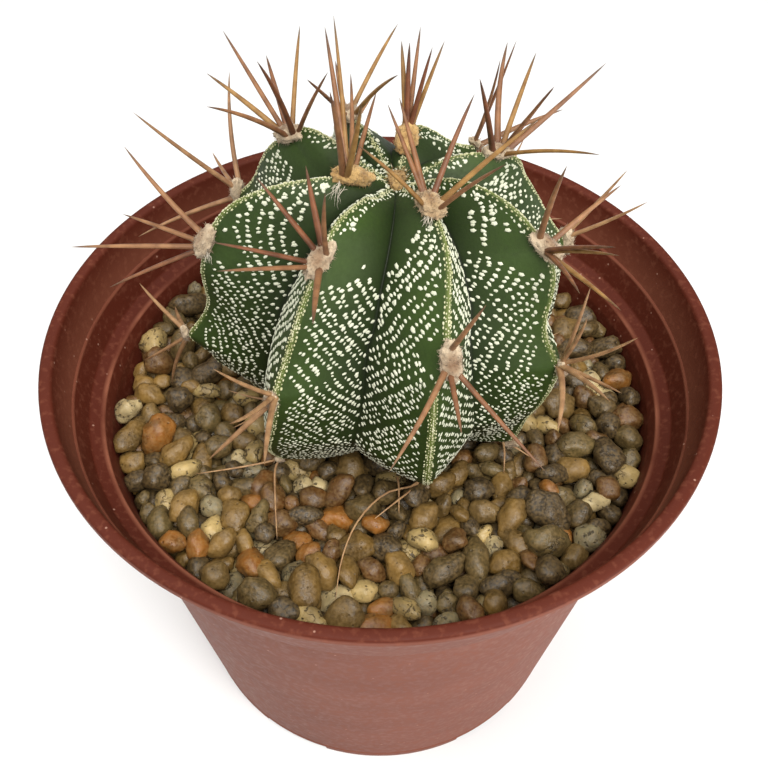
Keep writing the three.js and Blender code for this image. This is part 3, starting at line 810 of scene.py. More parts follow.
def skin(rib, across, down):
    """Points of the skin, for arrays of how far across and how far down."""
    across, down = np.broadcast_arrays(np.asarray(across, float), np.asarray(down, float))
    at, reach, drawn_in = rib_at(rib, down)
    beside = np.where(across < 0, rib_at(rib - 1, down)[0], rib_at(rib + 1, down)[0])
    share = np.abs(across)
    base_r, base_z = profile_at(down)
    out_r, out_z = outward_at(down)
    ratio = np.interp(down, *FURROW_RATIOS)
    upper = np.clip((base_z - WIDEST_Z) / ABOVE_WIDEST, 0, 1)
    drop = FURROW_DROP * upper * smoothstep(down, 0, FURROW_DROP_LENGTH)
    rounded = np.hypot(share, RIDGE_ROUNDING) - RIDGE_ROUNDING
    whole = math.hypot(1, RIDGE_ROUNDING) - RIDGE_ROUNDING
    height = 1 - (rounded / whole) ** FLANK_POWER
    ridge_r, ridge_z = base_r * reach - drawn_in * out_r, base_z - drawn_in * out_z
    r = base_r * ratio + (ridge_r - base_r * ratio) * height
    z = base_z - drop + (ridge_z - base_z + drop) * height
    return on_compass(at + share * (beside - at) / 2, np.maximum(r, 0), z)


# %% Directions on the skin


def unit(vectors):
    return vectors / np.linalg.norm(vectors, axis=-1, keepdims=True)


def skin_frame(rib, across, down, reach=0.3):
    """At points of the skin: the point, the direction away from the ridge, down, and outwards."""
    share_step = reach / SHARE_SPAN
    sideways = skin(rib, across + share_step, down) - skin(rib, across - share_step, down)
    downwards = skin(rib, across, down + reach) - skin(rib, across, down - reach)
    outwards = unit(np.cross(downwards, sideways))
    away = unit(sideways) * np.where(np.asarray(across) < 0, -1, 1)[..., None]
    return skin(rib, across, down), away, unit(downwards), outwards


print("the ridges half way down, in mm:")
for number, name in enumerate(RIBS):
    print(f"  {name}:", skin(number, 0, PROFILE_LENGTH / 2).round(1))

# %% [markdown]
# ### The stem's mesh
#
# The skin is a net of columns from the crown to the root neck. The columns stand closest at the
# ridges and in the furrows, where the form turns sharply, and further apart on the flanks. Two
# attributes go with it: how far across and how far down each point is. The material reads them.

# %% The stem's net
STEM_HALF_COLUMNS = 24
STEM_ROWS = 180
EVEN_PART = 0.45


def rib_columns():
    """Shares across one rib, closest together at its ridge and in its furrows."""
    t = np.arange(-STEM_HALF_COLUMNS + 1, STEM_HALF_COLUMNS + 1) / STEM_HALF_COLUMNS
    spread = 0.5 - 0.5 * np.cos(np.pi * np.abs(t))
    return np.sign(t) * (EVEN_PART * np.abs(t) + (1 - EVEN_PART) * spread)


def net_faces(rows, columns):
    """Quads of a net that closes round, with a point above its first row and below its last."""
    row, column = np.meshgrid(np.arange(rows - 1), np.arange(columns), indexing="ij")
    after = (column + 1) % columns
    quads = np.stack([row * columns + column, (row + 1) * columns + column,
                      (row + 1) * columns + after, row * columns + after], axis=-1).reshape(-1, 4) + 1
    column = np.arange(columns)
    after = (column + 1) % columns
    last = 1 + (rows - 1) * columns
    top = [(0, a + 1, b + 1) for a, b in zip(column, after)]
    bottom = [(last + a, 1 + rows * columns, last + b) for a, b in zip(column, after)]
    return quads.tolist() + top + bottom


# %% The stem's mesh


def make_stem():
    shares = rib_columns()
    downs = PROFILE_LENGTH * np.arange(1, STEM_ROWS + 1) / STEM_ROWS
    ribs = [skin(rib, shares[None, :], downs[:, None]) for rib in range(RIB_COUNT)]
    rings = np.concatenate(ribs, axis=1)
    foot = rings[-1]
    direction = np.degrees(np.arctan2(foot[:, 0] - STEM_AXIS[0], STEM_AXIS[1] - foot[:, 1]))
    neck = [on_compass(direction, np.full(len(foot), radius), np.full(len(foot), z))
            for radius, z in (NECK, ROOT_END)]
    rings = np.concatenate([rings, neck], axis=0)
    rows, columns = rings.shape[:2]
    top = [*STEM_AXIS, profile_at(0)[1]]
    points = np.concatenate([[top], rings.reshape(-1, 3), [[*STEM_AXIS, ROOT_END[1]]]])
    across = np.abs(np.tile(np.tile(shares, RIB_COUNT), rows))
    down = np.repeat(np.concatenate([downs, [PROFILE_LENGTH] * 2]), columns)
    return make_mesh("stem", points, faces=net_faces(rows, columns),
                     across=np.concatenate([[0], across, [0]]),
                     down=np.concatenate([[0], down, [PROFILE_LENGTH]]) / PROFILE_LENGTH)


# %% The skin's material
# A dark green, used for the skin's fine mottle and as painted shade towards the furrows.
DARK_GREEN_AND_SHADE = srgb(23, 34, 13)
SKIN_GREEN = srgb(39, 56, 19)
SKIN_BRIGHT = srgb(55, 78, 25)
RIDGE_PALE = srgb(104, 116, 58)
# Painted shade for the bottoms of the furrows.
PAINTED_CREASE_SHADE = srgb(8, 14, 6)
CORK = srgb(128, 98, 72)
SKIN_DEPTHS = (0.4, 1.0, 0.3)


def skin_paint():
    paint = Paint("flecked green skin", Specular_IOR_Level=0.3, Subsurface_Weight=0.05,
                  Subsurface_Scale=0.002)
    paint.shader.inputs["Subsurface Radius"].default_value = SKIN_DEPTHS
    across, down = paint.attribute("across"), paint.attribute("down")
    clouds = paint.effect(MOTTLE, Scale=70, Detail=3, Contrast=1.8)
    fine = paint.effect(MOTTLE, Scale=1400, Detail=2, Contrast=1.6)
    green = paint.mix(clouds, SKIN_GREEN, SKIN_BRIGHT)
    # Painted shade: each flank darkens towards its furrow.
    green = paint.mix(paint.range(across, 0.2, 0.95, 0, 0.7), green, DARK_GREEN_AND_SHADE)
    # Painted shade: the furrows' bottoms darkened, most in the upper part of the stem.
    crease_shade = paint.times(paint.range(across, 0.93, 0.99, 0, 0.7), paint.range(down, 0.7, 0.4))
    green = paint.mix(crease_shade, green, PAINTED_CREASE_SHADE)
    green = paint.mix(paint.times(fine, 0.3), green, DARK_GREEN_AND_SHADE)
    crest = paint.range(across, 0.06, 0.015)
    green = paint.mix(paint.times(crest, 0.85), green, RIDGE_PALE)
    streaks = paint.effect(MOTTLE, Vector=paint.stretch(1, 1, 0.3), Scale=260, Contrast=3)
    corky = paint.times(paint.range(down, 0.9, 0.99), paint.range(streaks, 0.45, 0.75))
    paint.set("Base Color", paint.mix(corky, green, CORK))
    paint.set("Roughness", paint.range(fine, 0, 1, 0.5, 0.66))
    paint.bump(paint.effect(GRAIN, Scale=1800), 0.00008, 0.6)
    return paint.material


stem_mesh = make_stem()
stem_mesh.shade_smooth()
stem_mesh.materials.append(skin_paint())
finish_piece("stem_skin", stem_mesh, "stem_skin", "stem")

# %% [markdown]
# ## The white flecks
#
# Each fleck is a tiny tuft of wool, about a millimetre long. The flecks stand in slanting rows
# that run from the ridge down into the furrow, mirrored on the two flanks, so that the rows meet
# as chevrons. Just beside each areole and in the upper furrows the skin is bare. Rows grow closer
# and flecks smaller towards the soil. A seeded draw moves each fleck a little and leaves some out.
#
# One small low dome is placed at every fleck by a Geometry Nodes tree, laid on the skin, turned
# across its row, and roughened so that no two look alike.

# %% Sizes of the flecks, and where the skin is bare
# The pairs give a value near the crown and one near the soil.
FLECK_SEED = 5
ROW_SLANT = (1.5, 0.7)
ROW_PITCH = (2.75, 1.42)
FLECK_STEP = (1.2, 0.73)
FLECK_LENGTH = (0.71, 0.47)
EASE_DOWN = (25, PROFILE_LENGTH * 0.9)
FLECK_LOSS = 0.09
FLECK_JITTER = 0.15
BARE_PATCH = {"away": 4.2, "below": 0.3, "half_width": 5.2, "half_height": 4.2, "wave": 0.3}
PATCH_SHARES = ([30, 45], [1.1, 0.5])
UPPER_BAND = ([14.0, 50.0], [1.0, 24.0])
BAND_WAVE = 2.5
WAVES = (0.5, 0.37)


def lerp_down(pair, down):
    return np.interp(down, EASE_DOWN, pair)


def flank_widths(rib, side):
    """For each millimetre down a flank: distances from the ridge at even shares across."""
    downs = np.arange(0, PROFILE_LENGTH + 1)
    shares = np.linspace(0, 1, 41)
    points = skin(rib, side * shares[None, :], downs[:, None])
    steps = np.linalg.norm(np.diff(points, axis=1), axis=2)
    return shares, np.concatenate([np.zeros((len(downs), 1)), np.cumsum(steps, axis=1)], axis=1)


def wave_at(away, down, phase):
    """A slow wave between -1 and 1, for the uneven edges of the bare skin."""
    return math.sin(WAVES[0] * away + phase[0]) * math.sin(WAVES[1] * down + phase[1])


def is_near_areole(rib, away, down, wave):
    """Beside the areoles the skin is bare."""
    for areole_down, size in zip(RIB_TABLES[rib][0], RIB_TABLES[rib][4]):
        share = np.interp(areole_down, *PATCH_SHARES)
        x = (away / share - BARE_PATCH["away"]) / BARE_PATCH["half_width"]
        y = (down - areole_down - BARE_PATCH["below"]) / (share * BARE_PATCH["half_height"])
        if size > 0 and x * x + y * y < size * (1 + BARE_PATCH["wave"] * wave):
            return True
    return False


def is_bare(rib, away, down, wave):
    """Beside the areoles, and away from the ridge near the crown, the skin is bare."""
    band = np.interp(down, *UPPER_BAND)
    return away > band + BAND_WAVE * wave or is_near_areole(rib, away, down, wave)


widest = max(flank_widths(rib, side)[1].max() for rib in range(RIB_COUNT) for side in (-1, 1))
print("the widest flank is", round(widest, 1), "mm from its ridge to its furrow")

# %% Slanting rows of flecks
# The first two pairs give a start and how far a draw may go beyond it, and each SPREAD is a range.
FIRST_ROW = (-18, 4)
FIRST_FLECK = (1.5, 0.5)
FIRST_ROW_DOWN = 4
LAST_ROW_DOWN = PROFILE_LENGTH - 2
LAST_FLECK_DOWN = PROFILE_LENGTH - 1.5
FURROW_MARGIN = 0.4
PITCH_SPREAD = (0.75, 1.25)
STEP_SPREAD = (0.85, 1.2)
SIZE_SPREAD = (0.75, 1.2)


def slanting_flecks(rib, side, flank, phase, random):
    """Rows of flecks that run from the ridge down to the furrow."""
    shares, widths = flank
    row_down = FIRST_ROW[0] + random.uniform(0, FIRST_ROW[1])
    flecks = []
    while row_down < LAST_ROW_DOWN:
        away = FIRST_FLECK[0] + random.uniform(0, FIRST_FLECK[1])
        down = row_down + away
        while True:
            slant = lerp_down(ROW_SLANT, down)
            step = lerp_down(FLECK_STEP, down) * random.uniform(*STEP_SPREAD) / math.hypot(1, slant)
            away += step
            down += slant * step
            if down > LAST_FLECK_DOWN:
                break
            if down < FIRST_ROW_DOWN:
                continue
            width = widths[int(down)]
            if away > width[-1] - FURROW_MARGIN:
                break
            size = lerp_down(FLECK_LENGTH, down) * random.uniform(*SIZE_SPREAD)
            wave = wave_at(away, down, phase)
            if random.random() > FLECK_LOSS and not is_bare(rib, away, down, wave):
                moved = random.normal(0, FLECK_JITTER, 2)
                share = np.interp(away + moved[0], width, shares)
                flecks.append((side * share, down + moved[1], size, slant))
        row_down += lerp_down(ROW_PITCH, row_down) * random.uniform(*PITCH_SPREAD)
    return flecks


# %% Short rows beside the ridge
RIDGE_ROWS = [(1.9, 1.05), (3.0, 1.2)]
RIDGE_ROWS_END = 36
RIDGE_ROWS_LEAN = 4
RIDGE_FLECK = {"size": 0.66, "slant": 0.4}


def ridge_flecks(rib, side, flank, phase, random):
    """Two short rows of narrow flecks along the upper ridge."""
    shares, widths = flank
    flecks = []
    for away, step in RIDGE_ROWS:
        for down in np.arange(FIRST_ROW_DOWN, RIDGE_ROWS_END - RIDGE_ROWS_LEAN * away, step):
            wave = wave_at(away, down, phase)
            if random.random() > FLECK_LOSS and not is_near_areole(rib, away, down, wave):
                moved = random.normal(0, FLECK_JITTER)
                share = np.interp(away + moved, widths[int(down)], shares)
                size = RIDGE_FLECK["size"] * FLECK_LENGTH[0] * random.uniform(*SIZE_SPREAD)
                lower = down + random.normal(0, FLECK_JITTER)
                flecks.append((side * share, lower, size, RIDGE_FLECK["slant"]))
    return flecks


# %% Places of all the flecks
FLECK_LEAN = 0.25


def fleck_places(rib, side, random):
    """How far across and down each fleck of one flank is, its size and its row's slant."""
    flank = flank_widths(rib, side)
    phase = random.uniform(0, 6, 3)
    flecks = slanting_flecks(rib, side, flank, phase, random)
    return np.array(flecks + ridge_flecks(rib, side, flank, phase, random))


def make_fleck_points():
    """Place, direction along, direction out and size of every fleck."""
    random = np.random.default_rng(FLECK_SEED)
    flecks = []
    for rib in range(RIB_COUNT):
        for side in (-1, 1):
            across, down, size, slant = fleck_places(rib, side, random).T
            point, away, downwards, outwards = skin_frame(rib, across, down)
            row = unit(away + slant[:, None] * downwards)
            along = unit(np.cross(outwards, row) + random.normal(0, FLECK_LEAN, row.shape))
            flecks.append((point, along, outwards, size))
    return [np.concatenate(parts) for parts in zip(*flecks)]


FLECKS = make_fleck_points()
print(len(FLECKS[0]), "flecks")

# %% [markdown]
# ### Beads on the ridges
#
# The crest of each rib is a pale line, set with beads so small that they nearly touch, and close
# beside it run one or two lines of narrow flecks. They use the same tree with smaller sizes.

# %% Places of the beads
BEAD_SEED = 11
BEAD_LINES = [(0.0, 0.38, 0.25), (0.42, 0.7, 0.22), (-0.42, 0.7, 0.22), (0.85, 0.95, 0.32),
              (-0.85, 0.95, 0.32)]
BEADS_FROM = 3
BEADS_END = PROFILE_LENGTH - 1
BEAD_JITTER = {"down": 0.1, "across": 0.004}
BEAD_LOSS = 0.12
BEAD_SPREAD = (0.7, 1.25)


def make_bead_points():
    """Place, direction along, direction out and size of every bead."""
    random = np.random.default_rng(BEAD_SEED)
    beads = []
    for rib in range(RIB_COUNT):
        for away, step, size in BEAD_LINES:
            down = np.arange(BEADS_FROM, BEADS_END, step)
            down = down + random.normal(0, BEAD_JITTER["down"], len(down))
            shares, widths = flank_widths(rib, -1 if away < 0 else 1)
            share = np.array([np.interp(abs(away), widths[int(d)], shares) for d in down])
            share = share + random.normal(0, BEAD_JITTER["across"], len(down))
            across = np.copysign(share, away if away else 1)
            point, _, downwards, outwards = skin_frame(rib, across, down)
            keep = random.random(len(down)) > BEAD_LOSS
            sizes = size * random.uniform(*BEAD_SPREAD, len(down))
            beads.append((point[keep], downwards[keep], outwards[keep], sizes[keep]))
    return [np.concatenate(parts) for parts in zip(*beads)]


BEADS = make_bead_points()
print(len(BEADS[0]), "beads")

# %% Copies that sit on the skin and are roughened


def copies_on_points(tree, points, shape):
    """Real copies of a shape, each turned and sized by its point's attributes."""
    noted = with_attribute(tree, points, "centre", position_of(tree), "FLOAT_VECTOR")
    directions = [named(tree, name, "FLOAT_VECTOR") for name in ("facing", "along")]
    size = add_node(tree, "ShaderNodeCombineXYZ", {axis: named(tree, "size") for axis in range(3)})
    sockets = {"Points": noted, "Instance": shape, "Rotation": turn_towards(tree, *directions),
               "Scale": size.outputs[0]}
    return make_real(tree, add_node(tree, "GeometryNodeInstanceOnPoints", sockets).outputs[0])


def arm_from_centre(tree):
    """The way from the noted centre of a copy to each of its points."""
    centre = named(tree, "centre", "FLOAT_VECTOR")
    return calculate_vector(tree, "SUBTRACT", position_of(tree), centre)


def push_out(tree, geometry, push):
    """Each point moved out along its arm, by a share of the arm's length."""
    sockets = {0: geometry, "Offset": scale_vector(tree, arm_from_centre(tree), push)}
    return add_node(tree, "GeometryNodeSetPosition", sockets).outputs[0]


# %% The flecks' tree, material and meshes
DOME = {"Radius Top": 0.5, "Radius Bottom": 1.0, "Depth": 1.0}
DOME_SUNK = (0, 0, -0.15)


def make_fleck_tree():
    tree, given = start_tree("Skin Flecks", {
        "Sides": 5, "Width": 0.6, "Height": 0.5, "Roughening": 0.25, "Roughening Scale": 900.0,
    })
    sockets = {"Vertices": given["Sides"], **DOME}
    dome = add_node(tree, "GeometryNodeMeshCone", sockets).outputs[0]
    scale = add_node(tree, "ShaderNodeCombineXYZ", {0: 1.0, 1: given["Width"], 2: given["Height"]})
    sockets = {0: dome, "Scale": scale.outputs[0], "Translation": DOME_SUNK}
    low = add_node(tree, "GeometryNodeTransform", sockets).outputs[0]
    flecks = copies_on_points(tree, given["Geometry"], low)
    sockets = {"Vector": position_of(tree), "Scale": given["Roughening Scale"]}
    noise = add_node(tree, "ShaderNodeTexNoise", sockets)
    push = calculate(tree, "SUBTRACT", noise.outputs[0], 0.5)
    push = calculate(tree, "MULTIPLY", push, calculate(tree, "MULTIPLY", given["Roughening"], 8))
    end_tree(tree, push_out(tree, flecks, push), given["Material"])
    return tree


def fleck_paint(name, light, shade):
    paint = Paint(name, Roughness=0.9)
    clouds = paint.effect(MOTTLE, Scale=350, Contrast=2)
    paint.set("Base Color", paint.mix(clouds, light, shade))
    paint.bump(paint.effect(GRAIN, Scale=3000), 0.0001)
    return paint.material


def make_flecks(name, places, paint, tree, **sizes):
    points, along, facing, size = places
    start = make_mesh(name, points, along=along, facing=facing, size=size * MM)
    mesh = grow(tree, start, {"Material": paint, **sizes})
    finish_piece(name, mesh, "stem_skin")


FLECK_TREE = make_fleck_tree()
FLECK_PAINT = fleck_paint("fleck wool", srgb(222, 225, 206), srgb(188, 194, 172))
BEAD_PAINT = fleck_paint("ridge beads", srgb(214, 214, 184), srgb(168, 170, 122))
make_flecks("skin_flecks", FLECKS, FLECK_PAINT, FLECK_TREE, Width=0.62, Height=0.34)
make_flecks("ridge_beads", BEADS, BEAD_PAINT, FLECK_TREE, Width=0.65, Height=0.6)

# %% [markdown]
# ## The areoles
#
# An areole is the pad that a rib grows its spines from. It is a lump of felted wool, cream on old
# areoles and amber on young ones near the crown, with loose hairs standing out of it. Each pad
# starts as one point on its ridge, with the directions out of the stem and up the rib. The tree
# puts a lump there, roughens it, and sows hairs over it.

# %% Frames of the areoles
WOOL_LIFT = 0.5
WOOL_HALF = (3.7, 2.0, 1.5)
AMBER_ABOVE = (9.5, 17)
AMBER_SHARES = (1, 0.1)
SMALL_PADS = {"areole_left_3": 0.55, "areole_front_left_2": 0.65, "areole_right_2": 0.65,
              "areole_back_left_2": 0.85, "areole_front_right_3": 0.6, "areole_front_left_3": 0.6,
              "areole_left_1": 0.84, "areole_back_right_1": 0.82, "areole_rear_right_2": 0.6}


def areole_frames():
    """Name, centre, outwards, up the rib, size and distance down of every areole."""
    frames = []
    for rib, (name, rows) in enumerate(RIBS.items()):
        grown = [row for row in rows if row[4] > 0]
        for number, (down, at, reach, _, size) in enumerate(grown, 1):
            base_r, base_z = profile_at(down)
            out_r, out_z = outward_at(down)
            angle = math.radians(at)
            level = np.array([math.sin(angle), -math.cos(angle), 0])
            outwards = level * out_r + np.array([0, 0, out_z])
            upwards = -level * out_z + np.array([0, 0, out_r])
            centre = on_compass(at, base_r * reach, base_z) + WOOL_LIFT * outwards
            node = f"areole_{name}_{number}"
            frames.append({"node": node, "centre": centre, "out": outwards, "up": upwards,
                           "size": size, "wool": size * SMALL_PADS.get(node, 1), "down": down})
    return frames


AREOLES = areole_frames()
missing = [areole["node"] for areole in AREOLES if areole["node"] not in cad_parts]
print(len(AREOLES), "areoles; without a solid:", missing)

# %% Nodes for a pad and its hairs
PAD_DETAIL = 4
HAIR_LEAN = ((-0.9, -0.9, 0), (0.9, 0.9, 6.28))
HAIR_LENGTHS = (0.5, 1.3)
HAIR_TIP = 0.00001


def make_pad(tree, given):
    """One flattened ball. Each of its points remembers how far it is from the pad's middle."""
    sockets = {"Radius": 1.0, "Subdivisions": PAD_DETAIL}
    ball = add_node(tree, "GeometryNodeMeshIcoSphere", sockets).outputs[0]
    level = calculate_vector(tree, "MULTIPLY", position_of(tree), (1, 1, 0))
    ball = with_attribute(tree, ball, "rim", calculate_vector(tree, "LENGTH", level))
    halves = [given["Half Length"], given["Half Width"], given["Half Thickness"]]
    scale = add_node(tree, "ShaderNodeCombineXYZ", dict(enumerate(halves))).outputs[0]
    return add_node(tree, "GeometryNodeTransform", {0: ball, "Scale": scale}).outputs[0]


def sow_hairs(tree, given, pads):
    """Short hairs all over the pads, each leaning its own way."""
    sockets = {"Mesh": pads, "Density": given["Hair Density"], "Seed": given["Seed"]}
    sown = add_node(tree, "GeometryNodeDistributePointsOnFaces", sockets)
    sockets = {0: HAIR_LEAN[0], 1: HAIR_LEAN[1], "Seed": 1}
    lean = add_node(tree, "FunctionNodeRandomValue", sockets, data_type="FLOAT_VECTOR")
    lean = add_node(tree, "FunctionNodeEulerToRotation", {0: lean.outputs[0]}).outputs[0]
    turned = add_node(tree, "FunctionNodeRotateRotation", {0: sown.outputs["Rotation"], 1: lean},
                      rotation_space="LOCAL").outputs[0]
    sockets = {2: HAIR_LENGTHS[0], 3: HAIR_LENGTHS[1], "Seed": 2}
    length = add_node(tree, "FunctionNodeRandomValue", sockets, data_type="FLOAT").outputs[1]
    sockets = {"Vertices": 3, "Side Segments": 2, "Radius Top": HAIR_TIP,
               "Radius Bottom": given["Hair Width"], "Depth": given["Hair Length"]}
    hair = add_node(tree, "GeometryNodeMeshCone", sockets).outputs[0]
    sockets = {"Points": sown.outputs[0], "Instance": hair, "Rotation": turned, "Scale": length}
    return add_node(tree, "GeometryNodeInstanceOnPoints", sockets).outputs[0]


# %% The wool's tree
LUMPS = {"Scale": 420, "Detail": 3}
FINE_LUMPS = {"Scale": 1500, "Detail": 2}


def make_wool_tree():
    tree, given = start_tree("Woolly Pads", {
        "Half Length": 0.003, "Half Width": 0.0026, "Half Thickness": 0.0018, "Lumpiness": 0.5,
        "Hair Density": 1.0, "Hair Length": 0.001, "Hair Width": 0.0001, "Seed": 0,
    })
    pads = copies_on_points(tree, given["Geometry"], make_pad(tree, given))
    place = position_of(tree)
    coarse = add_node(tree, "ShaderNodeTexNoise", {"Vector": place, **LUMPS}).outputs[0]
    fine = add_node(tree, "ShaderNodeTexNoise", {"Vector": place, **FINE_LUMPS}).outputs[0]
    both = calculate(tree, "MULTIPLY_ADD", fine, 0.6, coarse)
    push = calculate(tree, "MULTIPLY", calculate(tree, "SUBTRACT", both, 0.8), 2)
    push = calculate(tree, "MULTIPLY", push, given["Lumpiness"])
    lumpy = push_out(tree, pads, push)
    end_tree(tree, join_all(tree, lumpy, sow_hairs(tree, given, lumpy)), given["Material"])
    return tree


WOOL_TREE = make_wool_tree()
print("the wool's tree has", len(WOOL_TREE.nodes), "nodes")

# %% The wool's material and mesh
# The old wool's two creams: its own mottle, with the darker one partly painted shade among the lumps.
OLD_WOOL_AND_SHADE = (srgb(124, 101, 78), srgb(217, 201, 176))
YOUNG_WOOL = (srgb(130, 94, 50), srgb(204, 170, 112))
# The pads' brown middle: partly the wool's own colour and partly painted shade round the spine bases.
WOOL_CORE_AND_SHADE = srgb(112, 78, 54)


def wool_paint():
    paint = Paint("areole wool", Roughness=0.95, Sheen_Weight=0.15)
    clouds = paint.effect(MOTTLE, Scale=420, Detail=6, Contrast=2.2)
    # Partly painted shade: the clouds darken the old wool in patches.
    old = paint.mix(clouds, *OLD_WOOL_AND_SHADE)
    # Partly the pad's own brown core and partly painted shade where the spines leave it.
    middle = paint.range(paint.attribute("rim"), 0.75, 0.35, 0, 0.6)
    old = paint.mix(middle, old, WOOL_CORE_AND_SHADE)
    young = paint.mix(clouds, *YOUNG_WOOL)
    paint.set("Base Color", paint.mix(paint.attribute("young"), old, young))
    paint.bump(paint.effect(GRAIN, Scale=2500), 0.0003)
    return paint.material


WOOL_PAINT = wool_paint()
WOOL_SIZES = {
    "Half Length": WOOL_HALF[0] * MM, "Half Width": WOOL_HALF[1] * MM,
    "Half Thickness": WOOL_HALF[2] * MM, "Lumpiness": 0.55, "Hair Density": 3.2e6,
    "Hair Length": 0.65 * MM, "Hair Width": 0.05 * MM, "Seed": 3,
}


def make_wool(name, areoles, sizes, *nodes):
    young = [np.interp(areole["down"], AMBER_ABOVE, AMBER_SHARES) for areole in areoles]
    start = make_mesh(name, [areole["centre"] for areole in areoles],
                      facing=[areole["out"] for areole in areoles],
                      along=[areole["up"] for areole in areoles],
                      size=[areole["wool"] for areole in areoles], young=young)
    mesh = grow(WOOL_TREE, start, {**sizes, "Material": WOOL_PAINT})
    finish_piece(name, mesh, "wool", *nodes)


make_wool("areole_wool", AREOLES, WOOL_SIZES)

# %% [markdown]
# ### Wool in the crown
#
# New ribs grow from the sunken crown, under a tuft of fresh amber wool. It is the same wool with
# longer hairs, at the place where all the ridges meet.

# %% The crown's tuft
CROWN_WOOL_LIFT = 0.6
crown = {"centre": np.array([*STEM_AXIS, profile_at(0)[1] + CROWN_WOOL_LIFT]), "down": 0,
         "out": np.array([0, 0, 1]), "up": np.array([0, 1, 0]), "wool": 0.75}
make_wool("crown_tuft", [crown], {**WOOL_SIZES, "Hair Length": 1.3 * MM}, "crown_wool")

# %% [markdown]
# ## The spines
#
# The solids give the place of every spine: its tip is the far end of a slender point, and its root
# is in the middle of its areole. So the tips are read from the solids, as the points that lie
# further from the areole's centre than all their neighbours. Each spine then becomes a curve that
# bows a little, with a thick foot, a long taper, an oval section and a sharp tip. Some tips are
# moved, and some left out, where a second look at the real plant shows them elsewhere.
#
# The lowest spines are old and dry: thin, pale as straw, and curved along the pebbles. Their lines are
# short lists of given points.

# %% Tips of the spines
SPINE_LEAST = 5.0
SPINE_SEED = 17


def spine_tips(node, centre):
    """The points of a solid that lie further from the centre than everything they join."""
    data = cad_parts[node].data
    points = np.array([tuple(vertex.co) for vertex in data.vertices]) / MM
    rounded, where = np.unique(points.round(2), axis=0, return_inverse=True)
    where = where.ravel()
    distance = np.linalg.norm(rounded - centre, axis=1)
    furthest = distance > SPINE_LEAST
    for edge in data.edges:
        a, b = where[edge.vertices[0]], where[edge.vertices[1]]
        if a != b:
            furthest[a if distance[a] <= distance[b] else b] = False
    return rounded[furthest]


SPINE_TIPS = {areole["node"]: spine_tips(areole["node"], areole["centre"]) for areole in AREOLES}
TIP_MOVES = {
    "areole_left_1": {0: (1, 0.3, 0.2), 1: (-1.3, -0.5, -0.3)},
    "areole_back_left_1": {4: (1.5, 0, -0.1)},
    "areole_rear_left_1": {1: (11.6, -5.9, -0.5)},
    "areole_rear_left_2": {0: (7.9, 9.8, -22.4), 2: (-1.4, 7, -29.9), 4: (6, 5.9, -25.5)},
    "areole_rear_right_1": {0: (0.9, -0.2, -0.2), 1: (0.1, -0.7, -0.6), 2: (-1.6, -0.7, -0.5),
                            3: (0.2, -0.8, -0.7), 4: (-1.6, 0.2, 0.2)},
    "areole_rear_right_2": {2: (2, 0.1, 0), 3: (-1.6, 0.3, 0.4), 5: (-4, 2.5, 2.3)},
    "areole_back_right_1": {1: (1.2, -0.5, -0.5)},
    "areole_back_right_2": {3: (-0.8, 0.8, 0.7)},
    "areole_right_1": {1: (1, 1.3, 1.1), 2: (1.2, -2.5, -2.3), 3: (-0.8, 1.3, 1.2),
                       5: (-1.1, 1.5, 1.4)},
    "areole_right_2": {0: (0.6, 1.3, 1.1), 1: (1.3, 1, 0.8), 2: (2.4, 1, 0.8), 3: (-3.6, -1, -0.7),
                       5: (-3.7, 1.1, 1.2)},
    "areole_front_right_1": {0: (1.2, -0.6, -0.6), 1: (0.7, -0.2, -0.2), 5: (-3.1, -2, -1.5)},
    "areole_left_3": {2: (1.5, 0.2, 0.1)},
}
TIPS_LEFT_OUT = {"areole_rear_left_1": (0, 2), "areole_back_left_1": (6,), "areole_back_left_2": (2,),
                 "areole_rear_right_2": (0, 1, 4), "areole_back_right_2": (0, 2, 4)}
for node, moves in TIP_MOVES.items():
    for order, move in moves.items():
        SPINE_TIPS[node][order] += move
print("spines:", {node: len(tips) for node, tips in SPINE_TIPS.items()})

# %% Straws, and the sizes of the spines
STRAW_LINES = [
    [(10.5, -22, 90), (9, -25.6, 90.2), (3, -29.1, 91.5), (-1.9, -36.2, 91.8),
     (-4.3, -44.4, 90.8), (-4.8, -53.2, 88.6)],
    [(10.5, -23, 89.6), (8.6, -26.4, 90), (4.6, -31.1, 90.6), (0, -35, 89)],
    [(5.2, -23, 88.8), (5.7, -26, 89.6), (6.1, -31.9, 88.6)],
    [(-19.5, -20.5, 90), (-22, -22.2, 90.6), (-28.8, -24.7, 91), (-37.6, -25.5, 89)],
    [(-19.5, -20.5, 90), (-20.4, -24, 90.8), (-19.3, -31.6, 90.6), (-17.8, -39.9, 88.8)],
    [(27.5, -13, 90), (27.7, -16, 90.4), (27.7, -20.3, 88.6)],
    [(28, -13.2, 90.2), (30.4, -14.6, 90.4), (34, -16, 88.8)],
]
STRAW_AREOLES = ("areole_front_right_3", "areole_front_left_3", "areole_right_3")
SPINE_BOW = 0.035
BOW_WOBBLE = 0.5
BOW_SPREAD = (0.3, 1.3)
ROOT_SPREAD = (1.8, 0.9)
ROOT_DEPTH = 0.3
THICKNESS = {"large": 0.6, "small": 0.34, "straw": 0.27}
THICKNESS_SPREAD = (0.85, 1.15)
TONES = {"gold": 0.9, "others": (0.1, 0.65), "straw": 0.5}
GOLDEN = {"areole_front_right_1": (0, 5), "areole_left_1": (1, 5), "areole_back_left_1": (0, 5),
          "areole_rear_left_1": (4, 5), "areole_rear_right_1": (0, 4), "areole_back_right_1": (2, 5),
          "areole_right_1": (3, 4)}
DRY_BY_DOWN = ([20, 44, 56], [0, 0.2, 0.7])
SMALL_DRYNESS = 0.85
print(len(STRAW_LINES), "straws and", sum(map(len, GOLDEN.values())), "golden spines")

# %% The spines' lines


